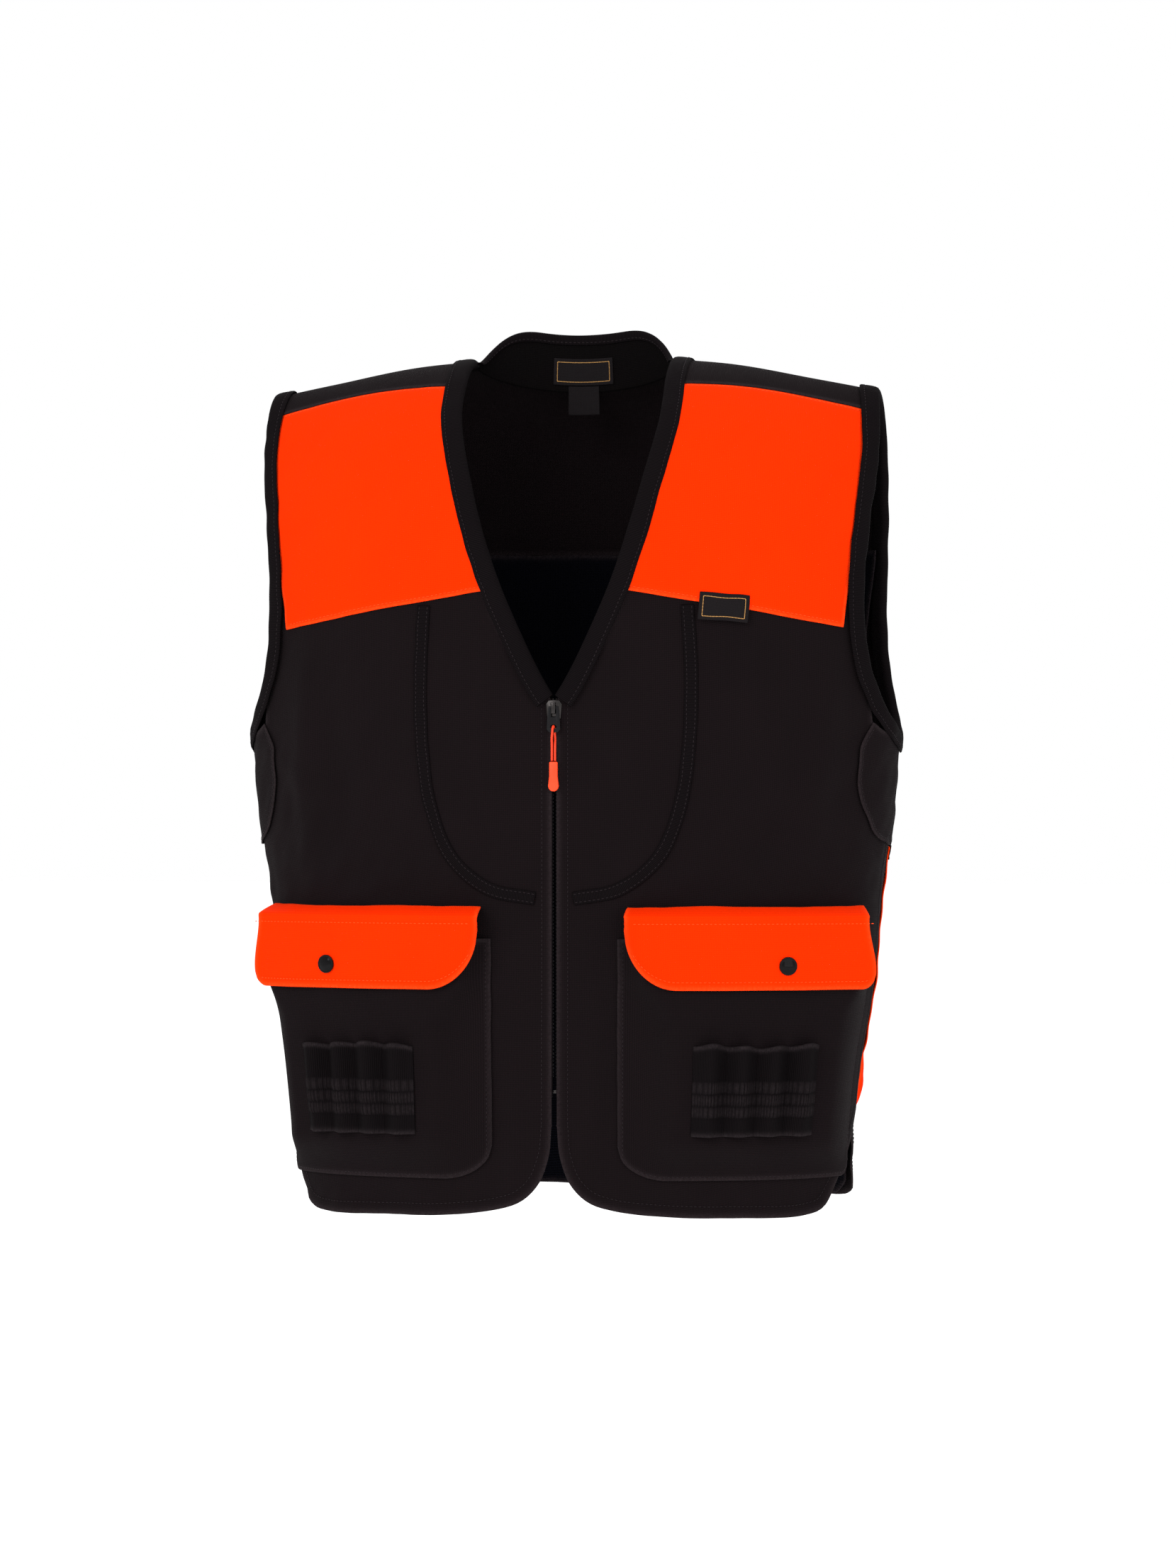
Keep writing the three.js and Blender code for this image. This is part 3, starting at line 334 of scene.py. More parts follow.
def line_of(places, side=1, soft=True):
    """A line through pattern places, for the wearer's left or mirrored to the right."""
    places = np.array(places, float) * (side, 1)
    if soft:
        return measured(rounded(places))
    shares = np.linspace(0, 1, 24)[1:, None]
    return measured(np.vstack([places[:1], *(mix(a, b, shares) for a, b in zip(places, places[1:]))]))


def along(line, t):
    shares, places, _ = line
    return np.stack([np.interp(t, shares, places[:, k]) for k in (0, 1)], -1)


def inside(edges, s, t):
    """Places inside four edges: foot and top run across, left and right run up."""
    foot, top, left, right = edges
    f, h, l, r = along(foot, s), along(top, s), along(left, t), along(right, t)
    corners = [along(line, end) for line in (foot, top) for end in (0.0, 1.0)]
    s, t = s[..., None], t[..., None]
    across = mix(mix(corners[0], corners[1], s), mix(corners[2], corners[3], s), t)
    return mix(f, h, t) + mix(l, r, s) - across


def spaced(length, coarse, fine=1.3, start=12.0, end=12.0):
    """Shares of a length, close together near its ends, where the seams are."""
    middle = np.linspace(start, length - end, max(2, round((length - start - end) / coarse)))
    marks = np.concatenate([np.arange(0, start - 0.1, fine), middle, length - np.arange(0, end - 0.1, fine)])
    return np.unique(np.clip(marks / length, 0, 1))


def walk(places, heading, distance, steps=4):
    """Steps along the cloth from pattern places, for a real distance in a 3-D direction."""
    phi, drop = places[..., 0], places[..., 1]
    goal = heading * (np.asarray(distance) / steps)[..., None]
    for _ in range(steps):
        here = body(phi, drop)
        across = (body(phi + 0.2, drop) - here) * 5
        down = (body(phi, drop + 0.5) - here) * 2
        aa, bb, ab, ga, gb = ((p * q).sum(-1) for p, q in (
            (across, across), (down, down), (across, down), (goal, across), (goal, down)))
        det = aa * bb - ab * ab
        phi, drop = phi + (ga * bb - gb * ab) / det, drop + (gb * aa - ga * ab) / det
    return np.stack([phi, drop], -1)


def sideways(line, s, distance):
    """Places beside a line, on its own left hand as seen from outside for a positive distance."""
    here = along(line, s)
    ahead = body(*along(line, np.minimum(1, s + 0.003)).T) - body(*along(line, np.maximum(0, s - 0.003)).T)
    side = np.cross(normal_of(body, *here.T), ahead)
    return walk(here, unit(side), np.full(len(s), float(distance)))


# ---------------------------------------------------------------- materials
def colour(code):
    """An sRGB hex colour as the linear colour that a shader takes."""
    channels = [int(code[i:i + 2], 16) / 255 for i in (1, 3, 5)]
    return (*[c / 12.92 if c <= 0.04045 else ((c + 0.055) / 1.055) ** 2.4 for c in channels], 1.0)


def add(tree, kind, inputs=(), **settings):
    """Adds a node with its settings, values and links."""
    made = tree.nodes.new(kind)
    for key, value in settings.items():
        setattr(made, key, value)
    for key, value in dict(inputs).items():
        if isinstance(value, bpy.types.NodeSocket):
            tree.links.new(value, made.inputs[key])
        else:
            made.inputs[key].default_value = value
    return made


def new_material(name, slot, roughness, metallic=0.0, specular=0.5, **sockets):
    """A material with its solid values on the shader; slot is not used."""
    material = bpy.data.materials.new(name)
    material.use_nodes = True
    tree = material.node_tree
    shader = tree.nodes["Principled BSDF"]
    values = {"Roughness": roughness, "Metallic": metallic, "Specular IOR Level": specular, **sockets}
    for key, value in values.items():
        shader.inputs[key].default_value = value
    return material, tree, shader


def dressed(tree, shader, shade, height, depth, strength):
    """Gives a shader its colour pattern and a relief of a depth in metres."""
    tree.links.new(shade, shader.inputs["Base Color"])
    relief = add(tree, "ShaderNodeBump", {"Height": height, "Distance": depth, "Strength": strength})
    tree.links.new(relief.outputs["Normal"], shader.inputs["Normal"])


WAVE_PERIOD = 2 * math.pi / 20   # one band of a Wave texture at scale 1


def woven(name, slot, tones, pitch, roughness, specular, depth, sheen=0.0, slub=0.35, rib=False,
          fade="#2B2426"):
    """Cloth: two tones in soft patches, threads pitch metres apart both ways, and paler worn edges."""
    material, tree, shader = new_material(
        name, slot, roughness, specular=specular, **{"Sheen Weight": sheen, "Sheen Roughness": 0.6})
    place = add(tree, "ShaderNodeUVMap", uv_map="cloth").outputs["UV"]
    warp, weft = (add(tree, "ShaderNodeTexWave", {
        "Vector": place, "Scale": WAVE_PERIOD / pitch, "Distortion": 0.6, "Detail": 2.0, "Detail Scale": 0.4},
        bands_direction=way).outputs["Fac"] for way in "XY")
    threads = add(tree, "ShaderNodeMath", {0: warp, 1: warp if rib else weft},
                  operation="MAXIMUM" if rib else "ADD").outputs[0]
    patches, slubs = (add(tree, "ShaderNodeTexNoise", {"Vector": place, "Scale": scale, "Detail": detail}
                          ).outputs["Fac"] for scale, detail in ((14.0, 4.0), (420.0, 2.0)))
    shade = add(tree, "ShaderNodeMix", {0: patches, 6: colour(tones[0]), 7: colour(tones[1])},
                data_type="RGBA").outputs[2]
    depths = add(tree, "ShaderNodeMath", {0: threads, 1: 0.5 if rib else 0.25}, operation="MULTIPLY").outputs[0]
    gap = add(tree, "ShaderNodeMix", {0: depths, 6: colour(tones[2]), 7: shade}, data_type="RGBA").outputs[2]
    worn = add(tree, "ShaderNodeAttribute", attribute_name="wear").outputs["Fac"]
    rubbed = add(tree, "ShaderNodeMath", {0: worn, 1: slubs}, operation="MULTIPLY").outputs[0]
    final = add(tree, "ShaderNodeMix", {0: rubbed, 6: gap, 7: colour(fade)}, data_type="RGBA").outputs[2]
    height = add(tree, "ShaderNodeMath", {0: slubs, 1: slub, 2: threads}, operation="MULTIPLY_ADD").outputs[0]
    dressed(tree, shader, final, height, depth, 0.7)
    return material


# Cotton duck: threads about 0.5 mm apart, drawn 1.5 mm apart so that they show.
canvas = woven("black_cotton_duck", "canvas", ("#181214", "#22191C", "#0D090A"), 0.0015, 0.92, 0.02, 0.00025,
               sheen=0.01)
# A darker copy of the same duck for the collar: painted shade, standing in for the shade inside the neck.
painted_shade_canvas = woven("painted_shade_cotton_duck", "canvas", ("#0D0A0B", "#141011", "#070606"), 0.0015, 0.92, 0.02,
                    0.00025, fade="#1C1719")
# Dyed polyester-cotton twill in safety orange, the same cloth weight, thread gaps hardly darker.
blaze = woven("blaze_orange_twill", "blaze_cloth", ("#FF3000", "#FF3A02", "#EA2800"), 0.0015, 0.88, 0.02,
              0.0002, fade="#FF4A18")
# Grosgrain tape: ribs across its width, 0.9 mm apart, drawn 1.3 mm apart.
grosgrain = woven("black_grosgrain_tape", "binding", ("#151012", "#1E181A", "#080607"), 0.0013, 0.9, 0.03,
                  0.0003, rib=True)
# Knitted elastic: fine rubber cords under a fuzzy cover.
elastic = woven("black_knitted_elastic", "elastic", ("#141012", "#1B1617", "#090708"), 0.0017, 0.92, 0.03,
                0.0003, rib=True, fade="#2C2628")
# Warp-knitted polyester mesh, with a cold black cast.
lining = woven("black_mesh_lining", "lining", ("#07070E", "#0C0C16", "#030306"), 0.0022, 0.85, 0.03, 0.0004,
               slub=0.1)
# Woven damask label ground.
damask = woven("black_damask_label", "label", ("#181316", "#201A1D", "#0E0B0C"), 0.0011, 0.7, 0.08, 0.00015)


def thread(name, slot, tones, roughness=0.6):
    """Spun polyester sewing thread: a plied strand with a little fuzz."""
    material, tree, shader = new_material(name, slot, roughness, specular=0.08)
    place = add(tree, "ShaderNodeTexCoord").outputs["Object"]
    fuzz = add(tree, "ShaderNodeTexNoise", {"Vector": place, "Scale": 900.0}).outputs["Fac"]
    pale = add(tree, "ShaderNodeMix", {0: fuzz, 6: colour(tones[0]), 7: colour(tones[1])}, data_type="RGBA")
    dressed(tree, shader, pale.outputs[2], fuzz, 0.0001, 0.5)
    return material


black_thread = thread("black_sewing_thread", "canvas", ("#171214", "#251E21"))
orange_thread = thread("orange_sewing_thread", "blaze_cloth", ("#F03400", "#FF5418"))
tan_thread = thread("tan_label_thread", "label", ("#A87C46", "#CE9E62"), 0.45)


def hard(name, slot, tones, roughness, metallic=0.0, specular=0.5, grain=300.0, depth=0.00004):
    """Moulded plastic or cast metal: a little mottling and a fine uneven skin."""
    material, tree, shader = new_material(name, slot, roughness, metallic, specular)
    place = add(tree, "ShaderNodeTexCoord").outputs["Object"]
    mottle, skin = (add(tree, "ShaderNodeTexNoise", {"Vector": place, "Scale": scale, "Detail": detail}
                        ).outputs["Fac"] for scale, detail in ((160.0, 5.0), (grain, 3.0)))
    shade = add(tree, "ShaderNodeMix", {0: mottle, 6: colour(tones[0]), 7: colour(tones[1])}, data_type="RGBA")
    dressed(tree, shader, shade.outputs[2], skin, depth, 0.5)
    dull = add(tree, "ShaderNodeMapRange",
               {"Value": skin, "To Min": roughness * 0.8, "To Max": roughness * 1.25})
    tree.links.new(dull.outputs["Result"], shader.inputs["Roughness"])
    return material


# Die-cast zinc with a gunmetal plating, tumbled smooth.
gunmetal = hard("gunmetal_zinc", "dark_metal", ("#2C2A2A", "#3E3B3A"), 0.24, metallic=1.0, grain=900.0)
# Stamped steel under a baked black paint, half gloss.
black_paint = hard("black_painted_steel", "dark_metal", ("#0A0A0C", "#121113"), 0.3, specular=0.12, grain=900.0)
# Nickel-plated brass inside the snap.
snap_brass = hard("dark_plated_brass", "dark_metal", ("#2E2A27", "#403A36"), 0.3, metallic=1.0)
# Moulded acetal zip teeth.
acetal = hard("black_acetal", "black_plastic", ("#100E10", "#181518"), 0.4, specular=0.25)
# Black lacquer over a pressed brass cap: a hard gloss coat.
lacquer = hard("black_lacquered_cap", "black_plastic", ("#050405", "#0A090A"), 0.07, specular=0.1, grain=60.0,
               depth=0.00002)
# Injection-moulded soft PVC, a paler and pinker orange than the cloth.
pull_vinyl = hard("orange_moulded_vinyl", "pull_orange", ("#F43A10", "#FC4A22"), 0.42, specular=0.25,
                  grain=700.0)


def braided(name, slot):
    """Braided nylon cord: strands cross round it, 1.1 mm apart along its length."""
    material, tree, shader = new_material(name, slot, 0.55, specular=0.35)
    place = add(tree, "ShaderNodeUVMap", uv_map="cloth").outputs["UV"]
    turns = [add(tree, "ShaderNodeTexWave", {
        "Vector": add(tree, "ShaderNodeMapping", {"Vector": place, "Rotation": (0, 0, angle)}).outputs["Vector"],
        "Scale": WAVE_PERIOD / 0.0011}, bands_direction="X").outputs["Fac"] for angle in (0.7, -0.7)]
    strands = add(tree, "ShaderNodeMath", {0: turns[0], 1: turns[1]}, operation="MAXIMUM").outputs[0]
    shade = add(tree, "ShaderNodeMix", {0: strands, 6: colour("#CC2A08"), 7: colour("#F23C14")},
                data_type="RGBA")
    dressed(tree, shader, shade.outputs[2], strands, 0.0002, 0.8)
    return material


cord_nylon = braided("orange_braided_nylon", "pull_orange")


# ---------------------------------------------------------------- making meshes
def only(made):
    """Selects one object alone, and makes it active."""
    bpy.ops.object.select_all(action="DESELECT")
    made.select_set(True)
    bpy.context.view_layer.objects.active = made


def edit(made, pick, *steps):
    """Runs edit-mode operators, each with its settings, on the faces that pick chooses, or on all."""
    only(made)
    bpy.ops.object.mode_set(mode="EDIT")
    bpy.ops.mesh.select_mode(type="FACE")
    bpy.ops.mesh.select_all(action="DESELECT" if pick else "SELECT")
    if pick:
        bpy.ops.object.mode_set(mode="OBJECT")
        for face in made.data.polygons:
            face.select = pick(face)
        bpy.ops.object.mode_set(mode="EDIT")
    for operator, settings in steps:
        operator(**settings)
    bpy.ops.object.mode_set(mode="OBJECT")


def round_off(made, width, segments, sharper, shaded=None):
    """Rounds the edges sharper than an angle in degrees, then shades smooth below another."""
    only(made)
    rounding = made.modifiers.new("rounding", "BEVEL")
    rounding.width, rounding.segments, rounding.limit_method = width, segments, "ANGLE"
    rounding.angle_limit = math.radians(sharper)
    bpy.ops.object.modifier_apply(modifier=rounding.name)
    if shaded:
        bpy.ops.object.shade_smooth_by_angle(angle=math.radians(shaded))


def piece_from(name, points, faces, material, uv=None, wear=None):
    """A smooth mesh from points in millimetres."""
    mesh = bpy.data.meshes.new(name)
    mesh.from_pydata((points * MM).tolist(), [], faces)
    if uv is not None:
        corners = np.zeros(len(mesh.loops), np.int32)
        mesh.loops.foreach_get("vertex_index", corners)
        layer = mesh.uv_layers.new(name="cloth")
        layer.data.foreach_set("uv", (uv[corners] * MM).astype(np.float32).ravel())
    if wear is not None:
        mesh.attributes.new("wear", "FLOAT", "POINT").data.foreach_set("value", wear.astype(np.float32))
    mesh.polygons.foreach_set("use_smooth", np.ones(len(mesh.polygons), bool))
    mesh.materials.append(material)
    made = bpy.data.objects.new(name, mesh)
    bpy.context.scene.collection.objects.link(made)
    return made


def repeated(name, points, faces, material):
    """One piece from many copies of a shape: a row of points for each copy."""
    each = points.shape[1]
    faces = [[i + n * each for i in face] for n in range(len(points)) for face in faces]
    return piece_from(name, points.reshape(-1, 3), faces, material)


def shape_of(made):
    """Takes the points and faces of a modelled shape, and removes its object."""
    points = np.array([vertex.co for vertex in made.data.vertices])
    faces = [list(face.vertices) for face in made.data.polygons]
    bpy.data.objects.remove(made)
    return points, faces


def stand_in(made, *nodes):
    """Hides the CAD nodes that a piece stands for."""
    if nodes:
        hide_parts(*nodes)


def ride(made, body_name, *nodes):
    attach(made, body_name)
    stand_in(made, *nodes)
    return made


def grid_normals(points):
    return unit(np.cross(np.gradient(points, axis=1), np.gradient(points, axis=0)))


def rim_of(rows, columns):
    top = np.arange(rows * columns).reshape(rows, columns)
    return np.concatenate([top[0, :-1], top[:-1, -1], top[-1, :0:-1], top[:0:-1, 0]])


def cloth(name, points, uv, material, thick, wear):
    """A closed sheet with rounded edges, from a grid of mid-surface points."""
    rows, columns = points.shape[:2]
    flat, half = points.reshape(-1, 3), grid_normals(points).reshape(-1, 3) * thick / 2
    rim = rim_of(rows, columns)
    within = np.ix_(*(np.clip(np.arange(n), 1, n - 2) for n in (rows, columns)))
    out = unit(flat - points[within].reshape(-1, 3)) * (np.linalg.norm(half, axis=1, keepdims=True) * 0.8)
    vertices = np.concatenate([flat + half, flat - half, flat[rim] + out[rim]])
    top = np.arange(rows * columns).reshape(rows, columns)
    foot = top + rows * columns
    loop = 2 * rows * columns + np.arange(len(rim))
    after = np.roll(np.arange(len(rim)), -1)
    faces = np.concatenate([
        np.stack([top[:-1, :-1], top[:-1, 1:], top[1:, 1:], top[1:, :-1]], -1).reshape(-1, 4),
        np.stack([foot[:-1, :-1], foot[1:, :-1], foot[1:, 1:], foot[:-1, 1:]], -1).reshape(-1, 4),
        np.stack([rim[after], rim, loop, loop[after]], -1),
        np.stack([loop[after], loop, rim + rows * columns, rim[after] + rows * columns], -1)])
    a, b, c, d = (vertices[faces[:, k]] for k in range(4))
    if (a * (np.cross(b, c) + np.cross(c, d))).sum() < 0:
        faces = faces[:, ::-1]
    wear = np.zeros(rows * columns) if wear is None else wear.reshape(-1)
    each = lambda values: np.concatenate([values, values, values[rim]])
    return piece_from(name, vertices, faces.tolist(), material, each(uv.reshape(-1, 2)), each(wear))


def sewn(name, points, uv, material, nodes, thick=CLOTH, wear=None, flap_body=None):
    """Makes a sheet of cloth and hangs it on the root body, or bakes a flap's sheet in place."""
    made = cloth(name, points, uv, material, thick, wear)
    if flap_body:
        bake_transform(made)
    else:
        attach(made, "root")
    stand_in(made, *nodes)


def rim_distance(points):
    """How far each point of a grid is from the grid's edge."""
    rows, columns = points.shape[:2]
    flat = points.reshape(-1, 3)
    loop = flat[rim_of(rows, columns)]
    shares = np.linspace(0, 1, 6, endpoint=False)[:, None, None]
    marks = mix(loop, np.roll(loop, -1, axis=0), shares).reshape(-1, 3)
    tree = KDTree(len(marks))
    for i, mark in enumerate(marks):
        tree.insert(mark, i)
    tree.balance()
    return np.array([tree.find(p)[2] for p in flat]).reshape(rows, columns)


def turned(width, height):
    """Relief of an edge that is folded under and stitched, by distance from the edge."""
    return lambda distance: (height * smooth((width + 2 - distance) / 2.5)
                             - 0.9 * height * bump(distance - width, 1.1))


def panel(name, edges, off, material, node, coarse=5.0, relief=None):
    """A cloth panel that hangs on the body; relief(distance from its edge) stands it off."""
    foot, top, left, right = edges
    s, t = np.meshgrid(spaced(max(foot[2], top[2]), coarse), spaced(max(left[2], right[2]), coarse))
    places = inside(edges, s, t)
    phi, drop = places[..., 0], places[..., 1]
    distance = rim_distance(body(phi, drop))
    points = lift(phi, drop, off + (relief(distance) if relief else 0))
    sewn(name, points, np.stack([girth(phi), -drop], -1), material, [node],
         wear=bump(distance, 3.0))


# ---------------------------------------------------------------- camera and pull cord
CAMERA_TURN = math.radians(8)
CAMERA_AWAY = 4.0
FRAME_HEIGHT = 1.3117            # what the frame's height takes in at the vest, in metres


def place_camera():
    right = Vector((math.cos(CAMERA_TURN), math.sin(CAMERA_TURN), 0))
    away = Vector((math.sin(CAMERA_TURN), -math.cos(CAMERA_TURN), 0))
    lens = bpy.data.cameras.new("camera")
    lens.lens = lens.sensor_width / 2 / (FRAME_HEIGHT / 2 / CAMERA_AWAY)
    camera = bpy.data.objects.new("camera", lens)
    bpy.context.scene.collection.objects.link(camera)
    camera.location = right * 0.0104 + Vector((0, 0, -0.348)) + away * CAMERA_AWAY
    camera.rotation_euler = (math.pi / 2, 0, CAMERA_TURN)
    bpy.context.scene.camera = camera


CORD_RADIUS = 0.95
CORD_HOLE = -301.6
GRIP_TOP = -329.6
TAB_MID = 4.5                    # closure plane to the middle of the tab


def cord_route():
    """One loop through the tab's hole, both strands out of the grip."""
    foot, hop = GRIP_TOP + 0.3, 2.25
    strand = [(1.3, 0, foot), (1.3, 0, foot + 8), (1.3, 0.2, foot + 13), (1.1, hop * 0.9, CORD_HOLE - 9.5),
              (0.8, hop, CORD_HOLE - 6), (0.4, hop, CORD_HOLE - 1.6)]
    points = [(-x, out, z) for x, out, z in strand] + [(0, 0, CORD_HOLE + 0.45)]
    points += [(x, -out, z) for x, out, z in strand[::-1]]
    return [(x, -FRONT_DEPTH - TAB_MID - out, z) for x, out, z in points]


def smooth_path(points, pieces=8):
    p = np.array(points, float)
    p = np.vstack([2 * p[0] - p[1], p, 2 * p[-1] - p[-2]])
    k = np.linspace(0, 1, pieces, endpoint=False)[:, None]
    spans = [0.5 * (2 * b + (c - a) * k + (2 * a - 5 * b + 4 * c - d) * k ** 2
                    + (3 * b - a - 3 * c + d) * k ** 3)
             for a, b, c, d in zip(p, p[1:], p[2:], p[3:])]
    return np.vstack([*spans, p[-2]])


def tube(name, path, radius, material, sides=12):
    """A round cord along a path, with closed ends."""
    ahead = unit(np.gradient(path, axis=0))
    side = unit(np.cross(ahead, (0, 1, 0)) + 1e-6)
    up = np.cross(side, ahead)
    turn = np.linspace(0, 2 * math.pi, sides, endpoint=False)
    ring = np.cos(turn)[None, :, None] * side[:, None] + np.sin(turn)[None, :, None] * up[:, None]
    points = np.vstack([(path[:, None] + radius * ring).reshape(-1, 3), path[0], path[-1]])
    index = np.arange(len(path) * sides).reshape(-1, sides)
    after = np.roll(index, -1, 1)
    faces = np.stack([index[:-1], after[:-1], after[1:], index[1:]], -1).reshape(-1, 4).tolist()
    for row, centre in ((0, index.size), (-1, index.size + 1)):
        faces += [[centre, b, a] for a, b in zip(index[row].tolist(), after[row].tolist())]
    walked = lengths(path)
    uv = np.stack(np.meshgrid(turn * radius, walked), -1).reshape(-1, 2)
    made = piece_from(name, points, faces, material, np.vstack([uv, (0, 0), (0, walked[-1])]))
    edit(made, None, (bpy.ops.mesh.normals_make_consistent, {"inside": False}))
    return made


def refined(node, name, material, bevel, segments=3, sunk=0.0):
    """A merged copy of a moulded or cast part, its whole surface sunk a little and its edges rounded."""
    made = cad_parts[node].copy()
    made.data = made.data.copy()
    made.name = name
    for key in list(made.keys()):
        del made[key]
    made.parent = None
    made.matrix_world = Matrix.Identity(4)
    bpy.context.scene.collection.objects.link(made)
    edit(made, None, (bpy.ops.mesh.remove_doubles, {"threshold": 0.00001}),
         (bpy.ops.mesh.dissolve_limited, {"angle_limit": math.radians(2)}))
    if sunk:
        edit(made, None, (bpy.ops.mesh.inset, {"thickness": 0, "depth": -sunk}))
    round_off(made, bevel, segments, 28, 38)
    made.data.materials.clear()
    made.data.materials.append(material)
    return made


def zip_pull():
    grip = refined("pull_grip", "moulded_pull_grip", pull_vinyl, 0.0012, 4, sunk=0.000385)
    ride(grip, "zip_pull", "pull_grip")
    route = smooth_path(cord_route())
    cord = tube("braided_pull_cord", route, CORD_RADIUS, cord_nylon)
    ride(cord, "zip_pull", "pull_cord")


place_camera()
zip_pull()


# ---------------------------------------------------------------- stitches
def one_stitch():
    """A sunk thread loop along X, one millimetre long before it is stretched to its pitch."""
    bpy.ops.object.select_all(action="DESELECT")
    bpy.ops.mesh.primitive_uv_sphere_add(segments=6, ring_count=4, radius=0.5, rotation=(0, math.pi / 2, 0))
    bpy.ops.object.transform_apply(location=False, rotation=True, scale=False)
    return shape_of(bpy.context.object)


STITCH_POINTS, STITCH_FACES = one_stitch()
STITCH_PITCH = 3.6
THREAD_WIDE = 0.75


def stitch_line(path, normals, pitch=STITCH_PITCH):
    """Places, headings and normals of the stitches along a path."""
    walked = lengths(path)
    count = max(1, int(walked[-1] / pitch))
    middle = (np.arange(count) + 0.5) * walked[-1] / count
    pick = lambda values, where: np.stack([np.interp(where, walked, values[:, k]) for k in range(3)], -1)
    heading = unit(pick(path, middle + pitch * 0.3) - pick(path, middle - pitch * 0.3))
    return pick(path, middle), heading, unit(pick(normals, middle))


def stitching(name, rows, material, body_name="root", length=2.5):
    """All the stitches of one thread on one body, each a copy of the modelled stitch."""
    centres, headings, normals = (np.concatenate(parts)[:, None] for parts in zip(*rows))
    x, y, z = (STITCH_POINTS[None, :, k:k + 1] for k in range(3))
    points = (centres + headings * x * length + np.cross(normals, headings) * y * THREAD_WIDE
              + normals * z * THREAD_WIDE * 0.8)
    ride(repeated(name, points, STITCH_FACES, material), body_name)


black_rows, orange_rows, tan_rows = [], [], []


def row_beside(line, inset, off, rows=black_rows, start=0.0, end=1.0):
    """A row of stitches beside a line on the body."""
    s = np.linspace(start, end, max(12, int(line[2] * (end - start) / 4)))
    phi, drop = (sideways(line, s, inset) if inset else along(line, s)).T
    rows.append(stitch_line(lift(phi, drop, off), normal_of(draped, phi, drop)))


# ---------------------------------------------------------------- outlines
ARMHOLE_FRONT = [flank(16, -24), flank(15, -77), flank(20, -130), flank(24, -190), flank(22, -237),
                 flank(15, -268), flank(6, -292), around(90, UNDERARM + 2)]
ARMHOLE_BACK = [(180 - flank(16, -24)[0], 2), *(flank(inset, z, True) for inset, z in (
    (14, -77), (14, -130), (15, -190), (14, -237), (10, -268), (4, -292))), around(90, UNDERARM + 2)]
NECKLINE = [at(FRONT_EDGE + 0.6, ZIP_TOP + 2), at(28, -230), at(53, -170), at(73, -100), at(84, -50),
            at(NECK_HALF, -14), (at(NECK_HALF, 3)[0], 3)]
PATCH_TOP = [at(NECK_HALF + 3, -21), at(130, -22), flank(88, -28), flank(24, -41)]
HEM_TURN, STRAP_TURN, YOKE_TURN = turned(9.0, 0.5), turned(3.0, 0.4), turned(7.0, 0.5)


def front_panel(side, name):
    foot = [at(x, hem(z)) for x, z in (
        (FRONT_EDGE, 75), (5, 48), (14, 26), (28, 13), (50, 6), (100, 1), (CHEST_HALF - 108, 0),
        (CHEST_HALF - 68, 1), (CHEST_HALF - 56, 6), (CHEST_HALF - 47, 24))]
    foot = line_of(foot + [around(83, hem(58)), around(89.95, LOW_SIDE)], side)
    closure = [at(FRONT_EDGE, z) for z in np.linspace(hem(75), ZIP_TOP - 3, 9)]
    neck = [(phi + (2.2 if i < 5 else 1.2), drop) for i, (phi, drop) in enumerate(NECKLINE[1:])]
    left = line_of(closure + [at(9, ZIP_TOP + 10)] + neck, side)
    arm = [(phi - 1.6, drop) for phi, drop in ARMHOLE_FRONT[-3::-1]]
    right = line_of([around(89.95, LOW_SIDE), around(89.95, -520), around(89.95, SIDE_FOOT),
                     flank(13, -375), flank(15, -306)] + arm, side, soft=False)
    top = line_of([left[1][-1], right[1][-1]], soft=False)
    panel(f"front_{name}", [foot, top, left, right], BASE, canvas,
          f"front_panel_{name}", relief=HEM_TURN)
    row_beside(foot, 9.0 * side, 1.0)
    row_beside(line_of(closure, side, soft=False), -9.0 * side, 0.9)


def side_panel(side, name):
    foot = [around(86.5, SIDE_FOOT - 4), around(93.5, SIDE_FOOT - 4)]
    left = [foot[0], flank(18, -384), flank(26.5, -352), flank(26, -322), flank(16, -298)]
    right = [foot[1], *(flank(inset, z, True) for inset, z in ((16, -384), (23, -352), (22, -322), (13, -296)))]
    top = [left[4], flank(11, -303), around(80, -308), around(90, -310), around(100, -308),
           flank(9, -302, True), right[4]]
    edges = [line_of(foot, side, False), *(line_of(edge, side) for edge in (top, left, right))]
    panel(f"underarm_{name}", edges, OVER + 0.2, canvas, f"side_panel_{name}", 4.0,
          STRAP_TURN)
    for edge, inset in ((edges[2], -3.0), (edges[3], 3.0)):
        row_beside(edge, inset * side, OVER + 1.2)


def whole_back(half):
    """A line across the whole back from its half, which ends at the centre."""
    return half[:-1] + [(180.0, half[-1][1])] + [(360 - phi, drop) for phi, drop in half[-2::-1]]


YOKE_LINE = [CHEST_HALF - 16, CHEST_HALF - 42, CHEST_HALF - 68, 150, 100, 0.01]


def back_edges(inset):
    foot = whole_back([around(90.05 + inset, hem(78)), around(96 + inset, hem(30)),
                       around(104 + inset, hem(12)), around(140, hem(10)), around(179.99, hem(10))])
    seam = whole_back([at(x, YOKE_SEAM, True) for x in YOKE_LINE])
    side = [foot[0], around(90.05 + inset, -520), around(90.05 + inset, SIDE_FOOT)]
    for place in ((12, -375), (14, -306), (17, -268), (17, -220)):
        phi, drop = flank(*place, True)
        side.append((phi + inset, drop))
    side.append(seam[0])
    other = [(360 - phi, drop) for phi, drop in side]
    return [line_of(foot), line_of(seam), line_of(side, soft=False), line_of(other, soft=False)]


